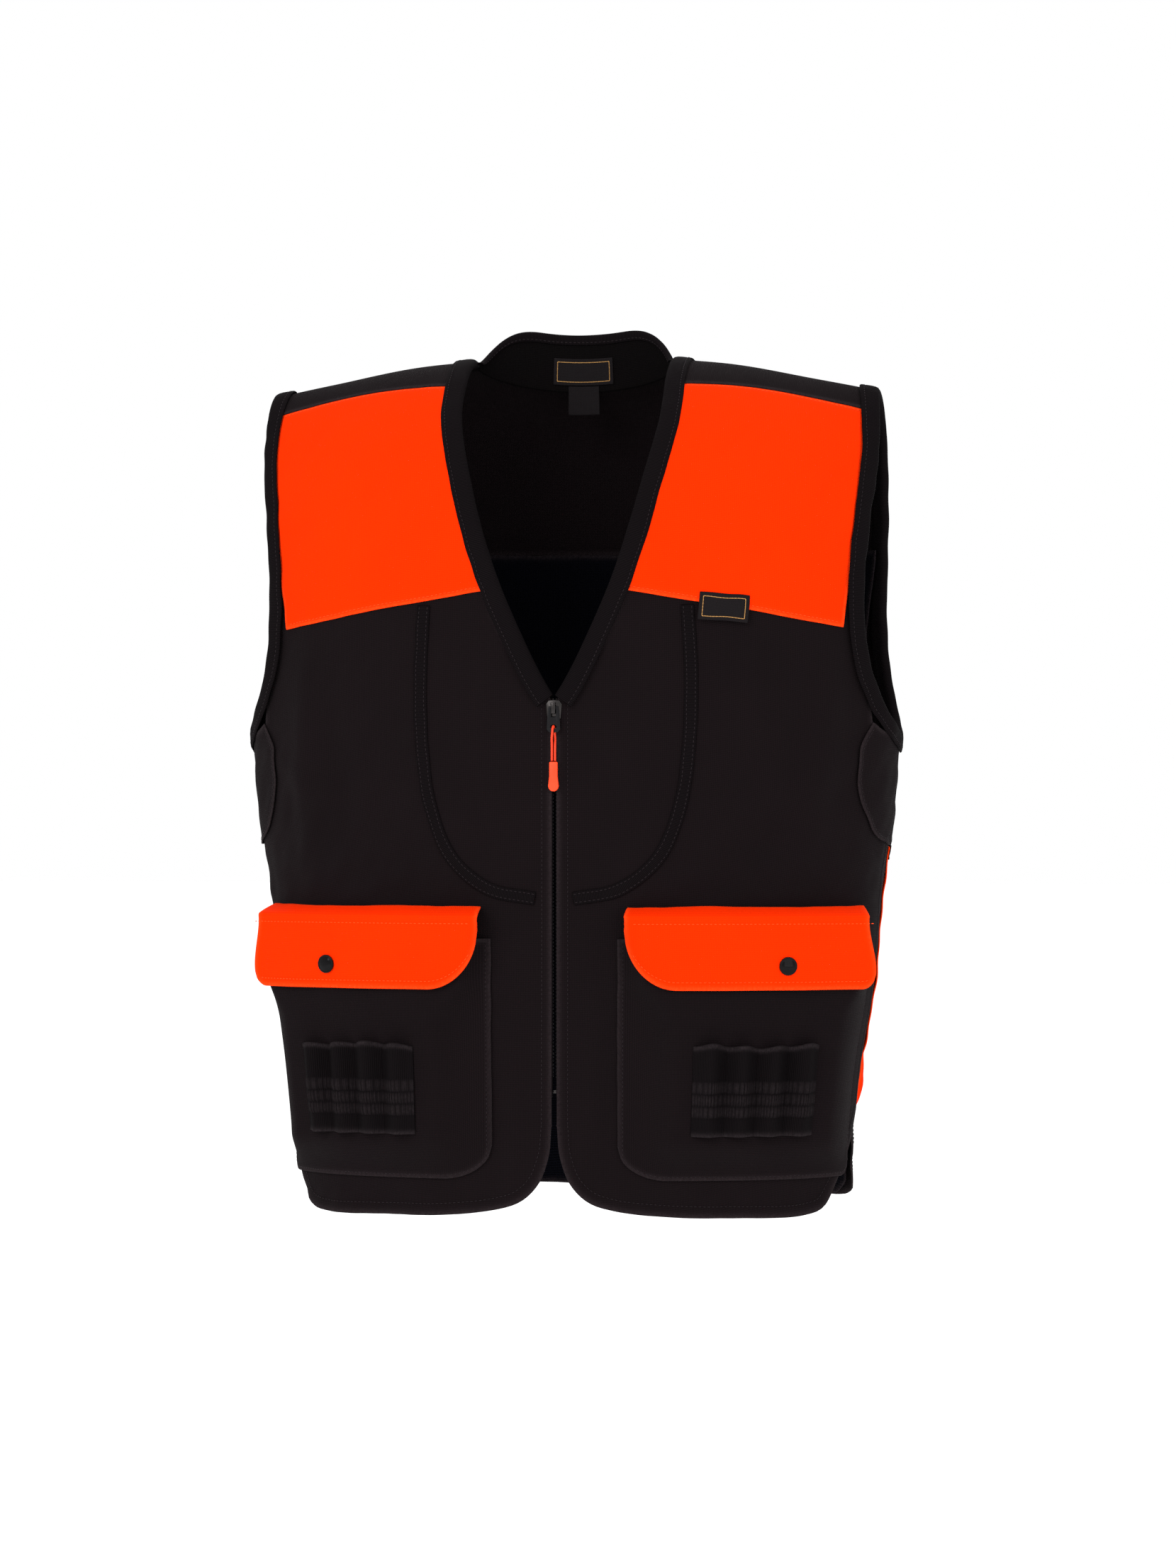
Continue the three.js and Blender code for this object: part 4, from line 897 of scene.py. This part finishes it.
def back():
    edges = back_edges(0)
    panel("back", edges, BASE, canvas, "back_panel", 6.0, HEM_TURN)
    row_beside(edges[0], 9.0, 1.0)
    panel("mesh_lining", back_edges(5), UNDER, lining, "back_lining", 7.0)


def yoke():
    foot = whole_back([at(x, YOKE_SEAM + 0.5, True) for x in YOKE_LINE])
    shoulder = [(180 - place[0], 2) for place in (flank(22, -24), flank(68, -14), at(130, -1))]
    hole = [at(x, z, True) for x, z in ((NECK_HALF, 2.2), (77, 1), (58, -2.5), (32, -5.2), (0.01, -6.2))]
    left = [foot[0], flank(18, -100, True), flank(18, -60, True), flank(19, -40, True), shoulder[0]]
    right = [(360 - phi, drop) for phi, drop in left]
    edges = [line_of(foot), line_of(whole_back(shoulder + hole), soft=False), line_of(left), line_of(right)]
    panel("yoke", edges, BASE, canvas, "back_yoke",
          relief=YOKE_TURN)
    row_beside(edges[0], 7.0, 1.1, black_rows, 0.02, 0.98)


def shoulder(side, name):
    top = line_of(PATCH_TOP, side)
    seam = line_of([(phi, drop - 0.4) for phi, drop in PATCH_TOP], side)
    behind = line_of([(phi, -42) for phi, _ in PATCH_TOP], side)
    ends = [line_of([(phi, drop - 0.4), (phi, -42)], side, False) for phi, drop in (PATCH_TOP[0], PATCH_TOP[3])]
    panel(f"strap_{name}", [seam, behind, *ends], OVER, canvas, f"shoulder_strap_{name}", 4.0,
          STRAP_TURN)
    row_beside(behind, 3.0 * side, OVER + 1.1, black_rows, 0.02, 0.98)
    foot = line_of([at(54, -190), at(110, -199), flank(98, -209), flank(38, -220)], side)
    left = line_of([at(54, -190), at(68, -140), at(79, -90), at(86, -50), PATCH_TOP[0]], side)
    right = line_of([flank(38, -220), flank(32, -170), flank(27, -120), flank(24, -80), PATCH_TOP[3]], side)

    def puffed(d):
        return 1.5 * smooth(d / 5) - 0.9 * bump(d - 3.2, 1.1) + 0.5 * smooth((d - 20) / 60)

    panel(f"patch_{name}", [foot, top, left, right], OVER - 0.5, blaze,
          f"shoulder_patch_{name}", 4.0, puffed)
    for line, inset in ((foot, 3.2), (top, -3.2)):
        row_beside(line, inset * side, OVER + 1.0, orange_rows, 0.03, 0.97)


# ---------------------------------------------------------------- bindings and tapes
# Sections: (distance in from the line, height off the body layer).
BINDING_SECTION = ((14.0, 3.9), (13.2, 4.5), (11.8, 4.7), (10.6, 4.4), (9.0, 4.8), (5.0, 5.0), (2.0, 4.9),
                   (0.0, 4.4), (-1.4, 3.2), (-1.9, 1.5), (-1.9, -0.4), (-1.2, -1.9), (0.4, -2.6), (4.0, -2.8),
                   (9.0, -2.7), (12.0, -2.4))
TAPE_SECTION = ((-5.2, -0.9), (-4.4, -0.1), (-3.4, -0.3), (-2.2, 0.1), (0, 0.2), (2.2, 0.1), (3.4, -0.3),
                (4.4, -0.1), (5.2, -0.9))


def ribbon(name, line, section, way, rise, node, thick=1.0, pitch=3.0):
    """A strip along a line on the body: a section turned one way or the other, and raised."""
    s = np.linspace(0, 1, int(line[2] / pitch))
    points = np.stack([lift(*sideways(line, s, inset * way).T, off + rise) for inset, off in section])
    uv = np.stack(np.meshgrid(s * line[2], lengths(points[:, len(s) // 2])), -1)
    sewn(name, points, uv, grosgrain, [node], thick)


def bindings(side, name):
    neck = line_of(NECKLINE + [(NECKLINE[-1][0], -14)], side)
    ribbon(f"neck_edge_{name}", neck, BINDING_SECTION, -side, 0,
           f"neck_binding_{name}")
    row_beside(neck, -11 * side, 5.2)
    tip = ARMHOLE_FRONT[0][0]
    front = rounded(np.array(ARMHOLE_FRONT) * (side, 1))
    behind = rounded(np.array(ARMHOLE_BACK[:0:-1] + [(180 - tip, 2)]) * (side, 1))
    for half, places in (("front", [(tip * side, 0.6), *front]), ("back", [*behind, ((180 - tip) * side, 0.6)])):
        line = measured(np.array(places))
        ribbon(f"armhole_edge_{half}_{name}", line, BINDING_SECTION, -side, 0.4,
               f"armhole_binding_{name}")
        row_beside(line, -11 * side, 5.6)


def chest_tape(side, name):
    line = line_of([at(108, -203), at(111, -260), at(109, -320), at(101, -370), at(83, -410), at(52, -434),
                    at(TAPE_HALF + 2, -441)], side)
    ribbon(f"curved_tape_{name}", line, TAPE_SECTION, 1, OVER, f"chest_tape_{name}",
           0.8, 2.5)
    for inset in (-3.4, 3.4):
        row_beside(line, inset, OVER + 0.3)


# ---------------------------------------------------------------- collar
def collar_point(turn, up):
    """A point of the collar: turn runs from one front end to the other, up is a share of its height."""
    angle = math.pi * turn
    back_share, reach = np.sin(angle), np.cos(angle)
    half = NECK_HALF - 4.5 - 5 * up * back_share
    foot = mix(-2, NECK_BACK - 6, np.abs(back_share) ** 1.5)
    rise = mix(7, COLLAR_RISE, smooth(back_share * 1.12))
    ripple = 0.9 * np.sin(turn * 21 + 2 * up) * back_share * up
    depth = -3 + (COLLAR_DEPTH + 3 - 4 * up + ripple) * np.abs(back_share) ** 0.8
    return np.stack([half * reach, depth, foot + rise * up], -1)


def collar_sheet(name, section, starts, ends, material, nodes, thick):
    """Cloth round the neck; section lists (share of the collar's height, distance off its mid surface)."""
    up, off = np.array(section, float).T
    s, t = np.meshgrid(np.linspace(starts, ends, int(200 * (ends - starts)) + 9), up)
    step = 1e-3
    normals = unit(np.cross(collar_point(s + step, t) - collar_point(s - step, t),
                            collar_point(s, t + step) - collar_point(s, t - step)))
    normals *= np.sign(-normals[len(up) // 2, len(s[0]) // 2, 1])
    points = collar_point(s, t) + normals * off[:, None, None]
    uv = np.stack(np.meshgrid(lengths(points[0]), lengths(points[:, len(s[0]) // 2])), -1)
    sewn(name, points, uv, material, nodes, thick)
    return points, normals


COLLAR_EDGE = ((0.86, 1.9), (0.9, 2.1), (0.96, 2.1), (1.0, 1.8), (1.02, 1.0), (1.028, 0), (1.02, -1.0),
               (1.0, -1.8), (0.96, -2.1), (0.9, -2.1), (0.86, -1.9))


def flat_section(low, high, off):
    return [(up, off) for up in np.linspace(low, high, 24)]


def collar():
    # The collar band takes the darker copy of the duck, painted shade for the shade inside the neck.
    collar_sheet("collar", flat_section(0, 0.97, 0), 0.005, 0.995, painted_shade_canvas, ["collar_band"], 2.0)
    points, normals = collar_sheet("collar_edge", COLLAR_EDGE, 0.003, 0.997, grosgrain, ["collar_binding"],
                                   0.9)
    for row, face in ((1, 1), (-2, -1)):
        black_rows.append(stitch_line(points[row] + normals[row] * face * 0.4, normals[row] * face))


def frame_rows(points, normals, off, margins):
    """Raised thread bars round a label: margins are grid shares from its edges."""
    height, width = points.shape[0] - 1, points.shape[1] - 1
    a, b = margins
    corners = [(b * height, a * width), (b * height, (1 - a) * width), ((1 - b) * height, (1 - a) * width),
               ((1 - b) * height, a * width)]
    k = np.linspace(0, 1, 30)
    for (r0, c0), (r1, c1) in zip(corners, corners[1:] + corners[:1]):
        r, c = np.rint(mix(r0, r1, k)).astype(int), np.rint(mix(c0, c1, k)).astype(int)
        tan_rows.append(stitch_line(points[r, c] + normals[r, c] * off, normals[r, c], 1.1))


LABEL_HALF, LABEL_TALL = 20, 11  # half width and half height of the chest label
LABEL_TURN = math.radians(4)


def labels():
    points, normals = collar_sheet("neck_woven_label", flat_section(0.12, 0.6, 2.0), 0.395, 0.605, damask,
                                   ["neck_label"], 0.5)
    frame_rows(points, normals, 0.3, (0.06, 0.12))
    collar_sheet("size_woven_tag", flat_section(-0.42, 0.1, 1.6), 0.448, 0.552, damask, [], 0.4)
    phi, drop = at(137, -205)
    across = unit(body(phi + 1, drop) - body(phi, drop))
    out = normal_of(body, np.float64(phi), np.float64(drop))
    heading = across * math.cos(LABEL_TURN) + np.cross(out, across) * math.sin(LABEL_TURN)
    s, t = np.meshgrid(np.linspace(-LABEL_HALF, LABEL_HALF, 41), np.linspace(-LABEL_TALL, LABEL_TALL, 23))
    start = np.broadcast_to(np.array([phi, drop]), s.shape + (2,))
    places = walk(walk(start, heading, s), np.cross(out, heading), t)
    phi, drop = places[..., 0], places[..., 1]
    points = lift(phi, drop, TOP + 0.5 - 0.3 * bump(
        np.minimum(LABEL_HALF - np.abs(s), LABEL_TALL - np.abs(t)), 1.0))
    sewn("chest_woven_label", points, np.stack([s, t], -1), damask, ["chest_label"], 0.7)
    frame_rows(points, normal_of(draped, phi, drop), 0.5, (0.075, 0.13))


# ---------------------------------------------------------------- pockets
def pocket_face(side, s, z):
    """The pocket's outer face: a chord that bows out, s running from its front end to its side end."""
    outer = mix(POCKET_FOOT_OUTER, POCKET_OUTER, (z - POCKET_FOOT) / (FLAP_TOP - POCKET_FOOT))
    chord_x, chord_y = outer - POCKET_INNER, POCKET_FRONT - POCKET_SIDE
    bow = 4 * s * (1 - s) * POCKET_BOW / np.hypot(chord_x, chord_y)
    x = POCKET_INNER + chord_x * s + chord_y * bow
    y = -POCKET_FRONT + chord_y * s - chord_x * bow
    return np.stack([x * side, y, z + 0 * s], -1)


def off_face(side, s, z, off):
    inner = np.clip(s, 0.01, 0.99)
    across = pocket_face(side, inner + 0.005, z) - pocket_face(side, inner - 0.005, z)
    up = pocket_face(side, inner, z + 1) - pocket_face(side, inner, z - 1)
    n = unit(np.cross(across, up))
    n = np.where(n[..., 1:2] > 0, -n, n)
    return pocket_face(side, s, z) + n * np.asarray(off + 0 * s)[..., None]


def pocket_wrinkles(side, s, z):
    """Soft drag lines on the pouch, below the flap only."""
    free = smooth((FLAP_TOP - FLAP_DEPTH - 4 - z) / 22) * smooth(s / 0.12) * smooth((1 - s) / 0.1)
    u = s * 210
    long = 1.3 * np.sin(u / 17 + side + z / 60) + 0.9 * np.sin(u / 9.5 - z / 31 + 2 * side)
    sag = 1.5 * np.sin((z + 640 + u * 0.22 * side) / 9) * smooth((-622 - z) / 18)
    return free * (0.6 * long + 0.7 * sag)


def pouch(side, name):
    s, t = np.meshgrid(spaced(215, 3.0, 1.3, 18, 12), spaced(195, 3.0, 1.3, 22, 8))
    foot = POCKET_FOOT + 26 * quarter(1 - s / 0.14) + 12 * quarter((s - 0.93) / 0.07)
    z = mix(foot, POCKET_MOUTH, t)
    heights = np.linspace(POCKET_FOOT, POCKET_MOUTH, 60)
    phi = mix(np.interp(z, heights, [at(52, height)[0] for height in heights]), 78, s)
    seam = lift(phi * side, drops_around(phi, z), OVER + 0.3)
    below = smooth((FLAP_TOP - FLAP_DEPTH + 10 - z) / 40)
    swell = smooth(s / mix(0.08, 0.22, below)) * smooth((1 - s) / mix(0.05, 0.13, below)) * smooth(t / 0.17)
    face = off_face(side, s, z, pocket_wrinkles(side, s, z))
    points = mix(seam, face, swell[..., None])
    sewn(f"pouch_{name}", points, np.stack([s * 245, t * 205], -1), canvas,
         [f"pocket_pouch_{name}"], wear=bump(rim_distance(points), 3.0))
    normals = grid_normals(points)
    normals *= np.sign(-normals[40, 40, 1])
    for pick in (np.s_[2], np.s_[:, 2], np.s_[:, -3]):
        black_rows.append(stitch_line(points[pick] + normals[pick] * 0.6, normals[pick]))


def flap_foot(s):
    return FLAP_TOP - FLAP_DEPTH + 48 * quarter(1 - s / 0.2) + 11 * quarter((s - 0.95) / 0.05)


def flap(side, name):
    """The flap and the band above its fold are one cut of cloth, which bends where it is stitched."""
    s, t = np.meshgrid(spaced(FLAP_LONG, 3.0, 1.2, 34, 12), spaced(FLAP_TALL, 1.6, 1.1, 14, 12))
    fold = FLAP_DEPTH / (FLAP_DEPTH + FLAP_BAND + 1)
    z = np.where(t < fold, mix(flap_foot(s), FLAP_TOP, t / fold), FLAP_TOP)
    edge = np.minimum(np.minimum(s, 1 - s) * FLAP_LONG, t * FLAP_TALL)
    rise = turned(6.0, 0.35)(edge) + 0.7 * np.sin(s * 19 + side) * (1 - t) ** 2
    drawn_in = s * (1 - 0.055 * smooth(t / fold) * smooth((s - 0.5) * 2))
    hanging = off_face(side, drawn_in, z, FLAP_MID + rise + 0.5 * smooth((t - 0.2) * 2))
    phi = mix(at(POCKET_INNER, FLAP_TOP + 0.6)[0], 71, s[-1])
    seam = lift(phi * side, drops_around(phi, FLAP_TOP + FLAP_BAND), OVER + 0.9)
    k = np.clip((t - fold) / (1 - fold), 0, 1)[..., None]
    points = mix(hanging + (0, 0, 1.2) * k * (1 - k), seam[None], k)
    points[..., 2] += 2.0 * (k * (1 - k))[..., 0]
    sewn(f"flap_{name}", points, np.stack([s * FLAP_LONG, t * FLAP_TALL], -1), blaze,
         [f"pocket_flap_{name}", f"flap_band_{name}"], 1.5,
         bump(rim_distance(points), 2.5), f"flap_{name}")
    rows = []
    s = np.linspace(0.03, 0.97, 90)
    for z, off in ((FLAP_TOP - 6 + 0 * s, 1.4), (flap_foot(s) + 6, 1.1 + 0.7 * np.sin(s * 19 + side))):
        row = off_face(side, s, z, FLAP_MID + off)
        rows.append(stitch_line(row, off_face(side, s, z, 9.0) - row))
    stitching(f"flap_stitches_{name}", rows, orange_thread, f"flap_{name}")


def loops(side, name):
    """Elastic sewn down between four shell loops, its lower part drawn up in three rows of gathers."""
    s, t = np.meshgrid(np.linspace(0, 1, LOOPS * PLEATS * 6 + 1), np.linspace(0, 1, 66))
    cell = (s * LOOPS) % 1.0
    arch = np.sin(math.pi * LOOPS * s) ** 2
    lean = 3.2 * (cell - 0.5) * side * np.sqrt(arch) - 2.4 * (1 - arch) + 1.2 * np.sin(s * 7 + side)
    z = mix(LOOP_FOOT, LOOP_TOP, t) + lean * smooth((t - 0.55) / 0.45)
    gathers = 0 * s
    for low, high, shift in ((0.20, 0.33, 0.0), (0.33, 0.46, 0.9), (0.46, 0.60, 0.4)):
        swelling = np.sqrt(np.abs(np.sin(math.pi * np.clip((t - low) / (high - low), 0, 1))))
        wander = 0.8 * np.sin(s * 23 + shift * 5)
        pleats = np.abs(np.sin(math.pi * (s * LOOPS * PLEATS + shift + wander)))
        gathers = gathers + swelling * (1.5 * pleats + 0.3)
        gathers = gathers - 0.5 * bump((t - low) * LOOP_TALL, 0.8)
    full = mix(0.75, 1.0, smooth((t - 0.1) / 0.5))
    band = 0.45 * smooth((t - 0.955) / 0.01) + 0.35 * smooth((0.05 - t) / 0.01)
    off = CLOTH / 2 + 1.6 + LOOP_RISE * arch * full + gathers * (0.35 + 0.65 * arch) + band
    off = off - 0.8 * bump(np.minimum(cell, 1 - cell) * 27, 1.2)
    across = mix(LOOP_START, LOOP_END, s)
    points = off_face(side, across, z, off + pocket_wrinkles(side, across, z) * 0.6)
    wear = bump((1 - t) * LOOP_TALL - 1.5, 2.0) + bump(t * LOOP_TALL, 2.5) + 0.35 * gathers
    sewn(f"elastic_loops_{name}", points, np.stack([s * 158, t * LOOP_TALL], -1), elastic,
         [f"shell_loops_{name}"], 1.0, np.clip(wear, 0, 1))


# ---------------------------------------------------------------- game bag
def bag_points(s, t, extra):
    """Points of the bag's outside: s runs round the back, t up to its mouth."""
    z = mix(BAG_FOOT + 26 * (2 * np.abs(s - 0.5)) ** 6, BAG_TOP, t)
    edge = mix(BAG_EDGE + 6, BAG_EDGE, smooth(t * 3))
    phi = mix(edge, 360 - edge, s)
    drop = SHOULDER_ARC + ridge(CHEST_HALF * power(np.abs(np.sin(np.radians(phi))))) - z - SHOULDER_ROUND
    swell = smooth(np.minimum(s, 1 - s) / 0.24) * smooth(t / 0.14)
    from_side = np.minimum(s, 1 - s) * BAG_LONG
    slack = 9 * smooth(from_side / 12) * bump(from_side - 34, 30) * bump((t - 0.14) * BAG_TALL, 26)
    folds = swell * (1.5 * np.sin(s * 31 + 2 * t) + 1.1 * np.sin(s * 17 - 5 * t + 1)
                     + 0.8 * np.sin(t * 14 + s * 9))
    return lift(phi, drop, OVER + 0.3 + BAG_SWELL * swell + folds * smooth((1 - t) / 0.15) + slack + extra)


def bag_row(points, row, off, rows):
    normals = grid_normals(points)[row]
    normals *= np.sign(normals[len(normals) // 2, 1])
    rows.append(stitch_line(points[row] + normals * off, normals))


def game_bag():
    s, t = np.meshgrid(spaced(BAG_LONG, 4.5), spaced(BAG_TALL, 4.0, 1.3, 14))
    edge = np.minimum(np.minimum(s, 1 - s) * BAG_LONG, t * BAG_TALL)
    shell = bag_points(s, t, turned(6.0, 0.5)(edge) + CLOTH / 2)
    sewn("bag_shell", shell, np.stack([s * BAG_LONG, t * 270], -1), blaze, ["game_bag"],
         wear=bump(rim_distance(shell), 3.0))
    s, t = np.meshgrid(spaced(BAG_LONG, 5.0), np.linspace(0.955, 1.006, 9))
    bound = bag_points(s, t, CLOTH + 1.1 - 0.5 * bump((t - 0.97) * 250, 1.2))
    sewn("bag_edge", bound, np.stack([s * BAG_LONG, t * BAG_TALL], -1), grosgrain,
         ["game_bag_binding"], 1.0)
    bag_row(bound, 2, 0.5, black_rows)
    bag_row(shell, 4, 0.6, orange_rows)


# ---------------------------------------------------------------- zip and snaps
TEETH_PITCH = 3.0
TAPE_INNER = 1.6
ZIP_TAPE_MID = FRONT_DEPTH - 1.3


def zip_tape(side, name):
    x, z = np.meshgrid(np.linspace(TAPE_INNER, TAPE_HALF, 14), np.linspace(ZIP_FOOT - 3, ZIP_TOP + 1, 130))
    ribs = 0.15 * np.sin((x - TAPE_INNER) * 2 * math.pi / 2.1)
    points = np.stack([x * side, -ZIP_TAPE_MID - ribs + 0 * z, z], -1)
    sewn(f"woven_zip_tape_{name}", points, np.stack([z, x], -1), grosgrain,
         [f"zip_tape_{name}"], 0.6)


def one_tooth():
    """A moulded tooth: a root that grips the tape's cord, a narrower neck and a round head."""
    bpy.ops.object.select_all(action="DESELECT")
    bpy.ops.mesh.primitive_cube_add(size=1.0)
    made = bpy.context.object
    made.data.transform(Matrix.Diagonal((2.5, 2.4, 1.7, 1)))
    edit(made, None, (bpy.ops.mesh.subdivide, {"number_cuts": 2}))
    for vertex in made.data.vertices:
        x, y, z = vertex.co
        vertex.co = (x, y * (0.85 if x < -1 else 1.0), z * (0.62 if -0.9 < x < 0.3 else 1.0))
    round_off(made, 0.25, 1, 30)
    return shape_of(made)


def zip_teeth(side, name, tooth):
    points, faces = tooth
    low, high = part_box(f"zip_teeth_{name}")
    start = low.z / MM + 0.9 + (TEETH_PITCH / 2 if side < 0 else 0)
    centres = np.array([((low.x + high.x) / 2 / MM, (low.y + high.y) / 2 / MM, z)
                        for z in np.arange(start, high.z / MM - 0.9, TEETH_PITCH)])
    made = repeated(f"moulded_teeth_{name}", points * (-side, 1, 1) + centres[:, None],
                    [face[::-side] for face in faces], acetal)
    edit(made, None, (bpy.ops.mesh.normals_make_consistent, {"inside": False}))
    bpy.ops.object.shade_smooth_by_angle(angle=math.radians(40))
    ride(made, "root", f"zip_teeth_{name}")


def snap(side, name):
    """A pressed cap with a rolled rim and a shallow dome, and the snap's halves behind it."""
    across, up = np.float64(SNAP_ACROSS), np.float64(FLAP_TOP - FLAP_DEPTH + SNAP_UP)
    foot = off_face(side, across, up, 0.0)
    out = unit(off_face(side, across, up, 5.0) - foot)
    bpy.ops.object.select_all(action="DESELECT")
    bpy.ops.mesh.primitive_cylinder_add(vertices=40, radius=CAP_RADIUS * MM, depth=1.4 * MM)
    made = bpy.context.object
    made.name = f"domed_cap_{name}"
    steps = ((0.9, 0.25), (0.35, -0.22), (1.2, 0.45), (1.6, 0.35), (1.6, 0.15))
    edit(made, lambda face: face.normal.z > 0.9,
         *((bpy.ops.mesh.inset, {"thickness": inset * MM, "depth": rise * MM}) for inset, rise in steps))
    round_off(made, 0.4 * MM, 3, 50, 60)
    turn = Vector(out).to_track_quat("Z", "Y").to_matrix().to_4x4()
    made.data.transform(Matrix.Translation(Vector((foot + out * (FLAP_MID + 1.8)) * MM)) @ turn)
    made.data.materials.append(lacquer)
    ride(made, f"flap_{name}", f"snap_cap_{name}")
    for part, body_name in (("stud", "root"), ("socket", f"flap_{name}")):
        node = f"snap_{part}_{name}"
        ride(refined(node, f"pressed_{part}_{name}", snap_brass, 0.0002, 2), body_name, node)


def hardware():
    tooth = one_tooth()
    for name, side in SIDES:
        zip_tape(side, name)
        zip_teeth(side, name, tooth)
        snap(side, name)
        node = f"zip_top_stop_{name}"
        ride(refined(node, f"crimped_stop_{name}", gunmetal, 0.0003), "root", node)
    for node, name, finish, bevel, body_name in (
            ("slider_body", "cast_slider", gunmetal, 0.0004, "zip_slider"),
            ("pull_tab", "stamped_tab", black_paint, 0.0003, "zip_tab"),
            ("zip_retainer_box", "moulded_retainer_box", gunmetal, 0.0004, "root"),
            ("zip_insert_pin", "insert_pin", gunmetal, 0.0003, "root")):
        ride(refined(node, name, finish, bevel), body_name, node)


# ---------------------------------------------------------------- studio
def studio():
    bpy.ops.object.select_all(action="DESELECT")
    bpy.ops.mesh.primitive_plane_add(size=60, location=(0, 0, CAD_LOW.z - 0.36))
    floor = bpy.context.object
    floor.name = "floor"
    paper, _, shader = new_material("white_seamless_paper", None, 0.9, specular=0.1,
                                    **{"Emission Strength": 0.2})
    for key in ("Base Color", "Emission Color"):
        shader.inputs[key].default_value = colour("#FFFFFF")
    floor.data.materials.append(paper)
    world = bpy.data.worlds.new("studio")
    bpy.context.scene.world = world
    world.use_nodes = True
    world.node_tree.nodes["Background"].inputs["Color"].default_value = (1, 1, 1, 1)
    world.node_tree.nodes["Background"].inputs["Strength"].default_value = 1.0
    for name, place, size, watts in (("key", (-1.6, -3.2, 1.4), 2.2, 60), ("fill", (2.4, -2.8, 0.4), 2.6, 26),
                                     ("top", (0.2, 0.6, 2.6), 2.4, 30), ("back", (-0.6, 3.2, 1.0), 2.4, 30)):
        lamp = bpy.data.lights.new(name, "AREA")
        lamp.shape, lamp.size, lamp.energy = "SQUARE", size, watts
        holder = bpy.data.objects.new(name, lamp)
        bpy.context.scene.collection.objects.link(holder)
        holder.location = place
        aim = Vector((0, 0, -0.35)) - Vector(place)
        holder.rotation_euler = aim.to_track_quat("-Z", "Y").to_euler()
    bpy.context.scene.view_settings.view_transform = "Standard"


# ---------------------------------------------------------------- the vest
for name, side in SIDES:
    for piece in (front_panel, side_panel, shoulder, bindings, chest_tape, pouch, flap, loops):
        piece(side, name)
for piece in (back, yoke, collar, labels, game_bag, hardware):
    piece()
stitching("black_stitching", black_rows, black_thread)
stitching("orange_stitching", orange_rows, orange_thread)
stitching("label_thread_frames", tan_rows, tan_thread, length=1.0)
studio()
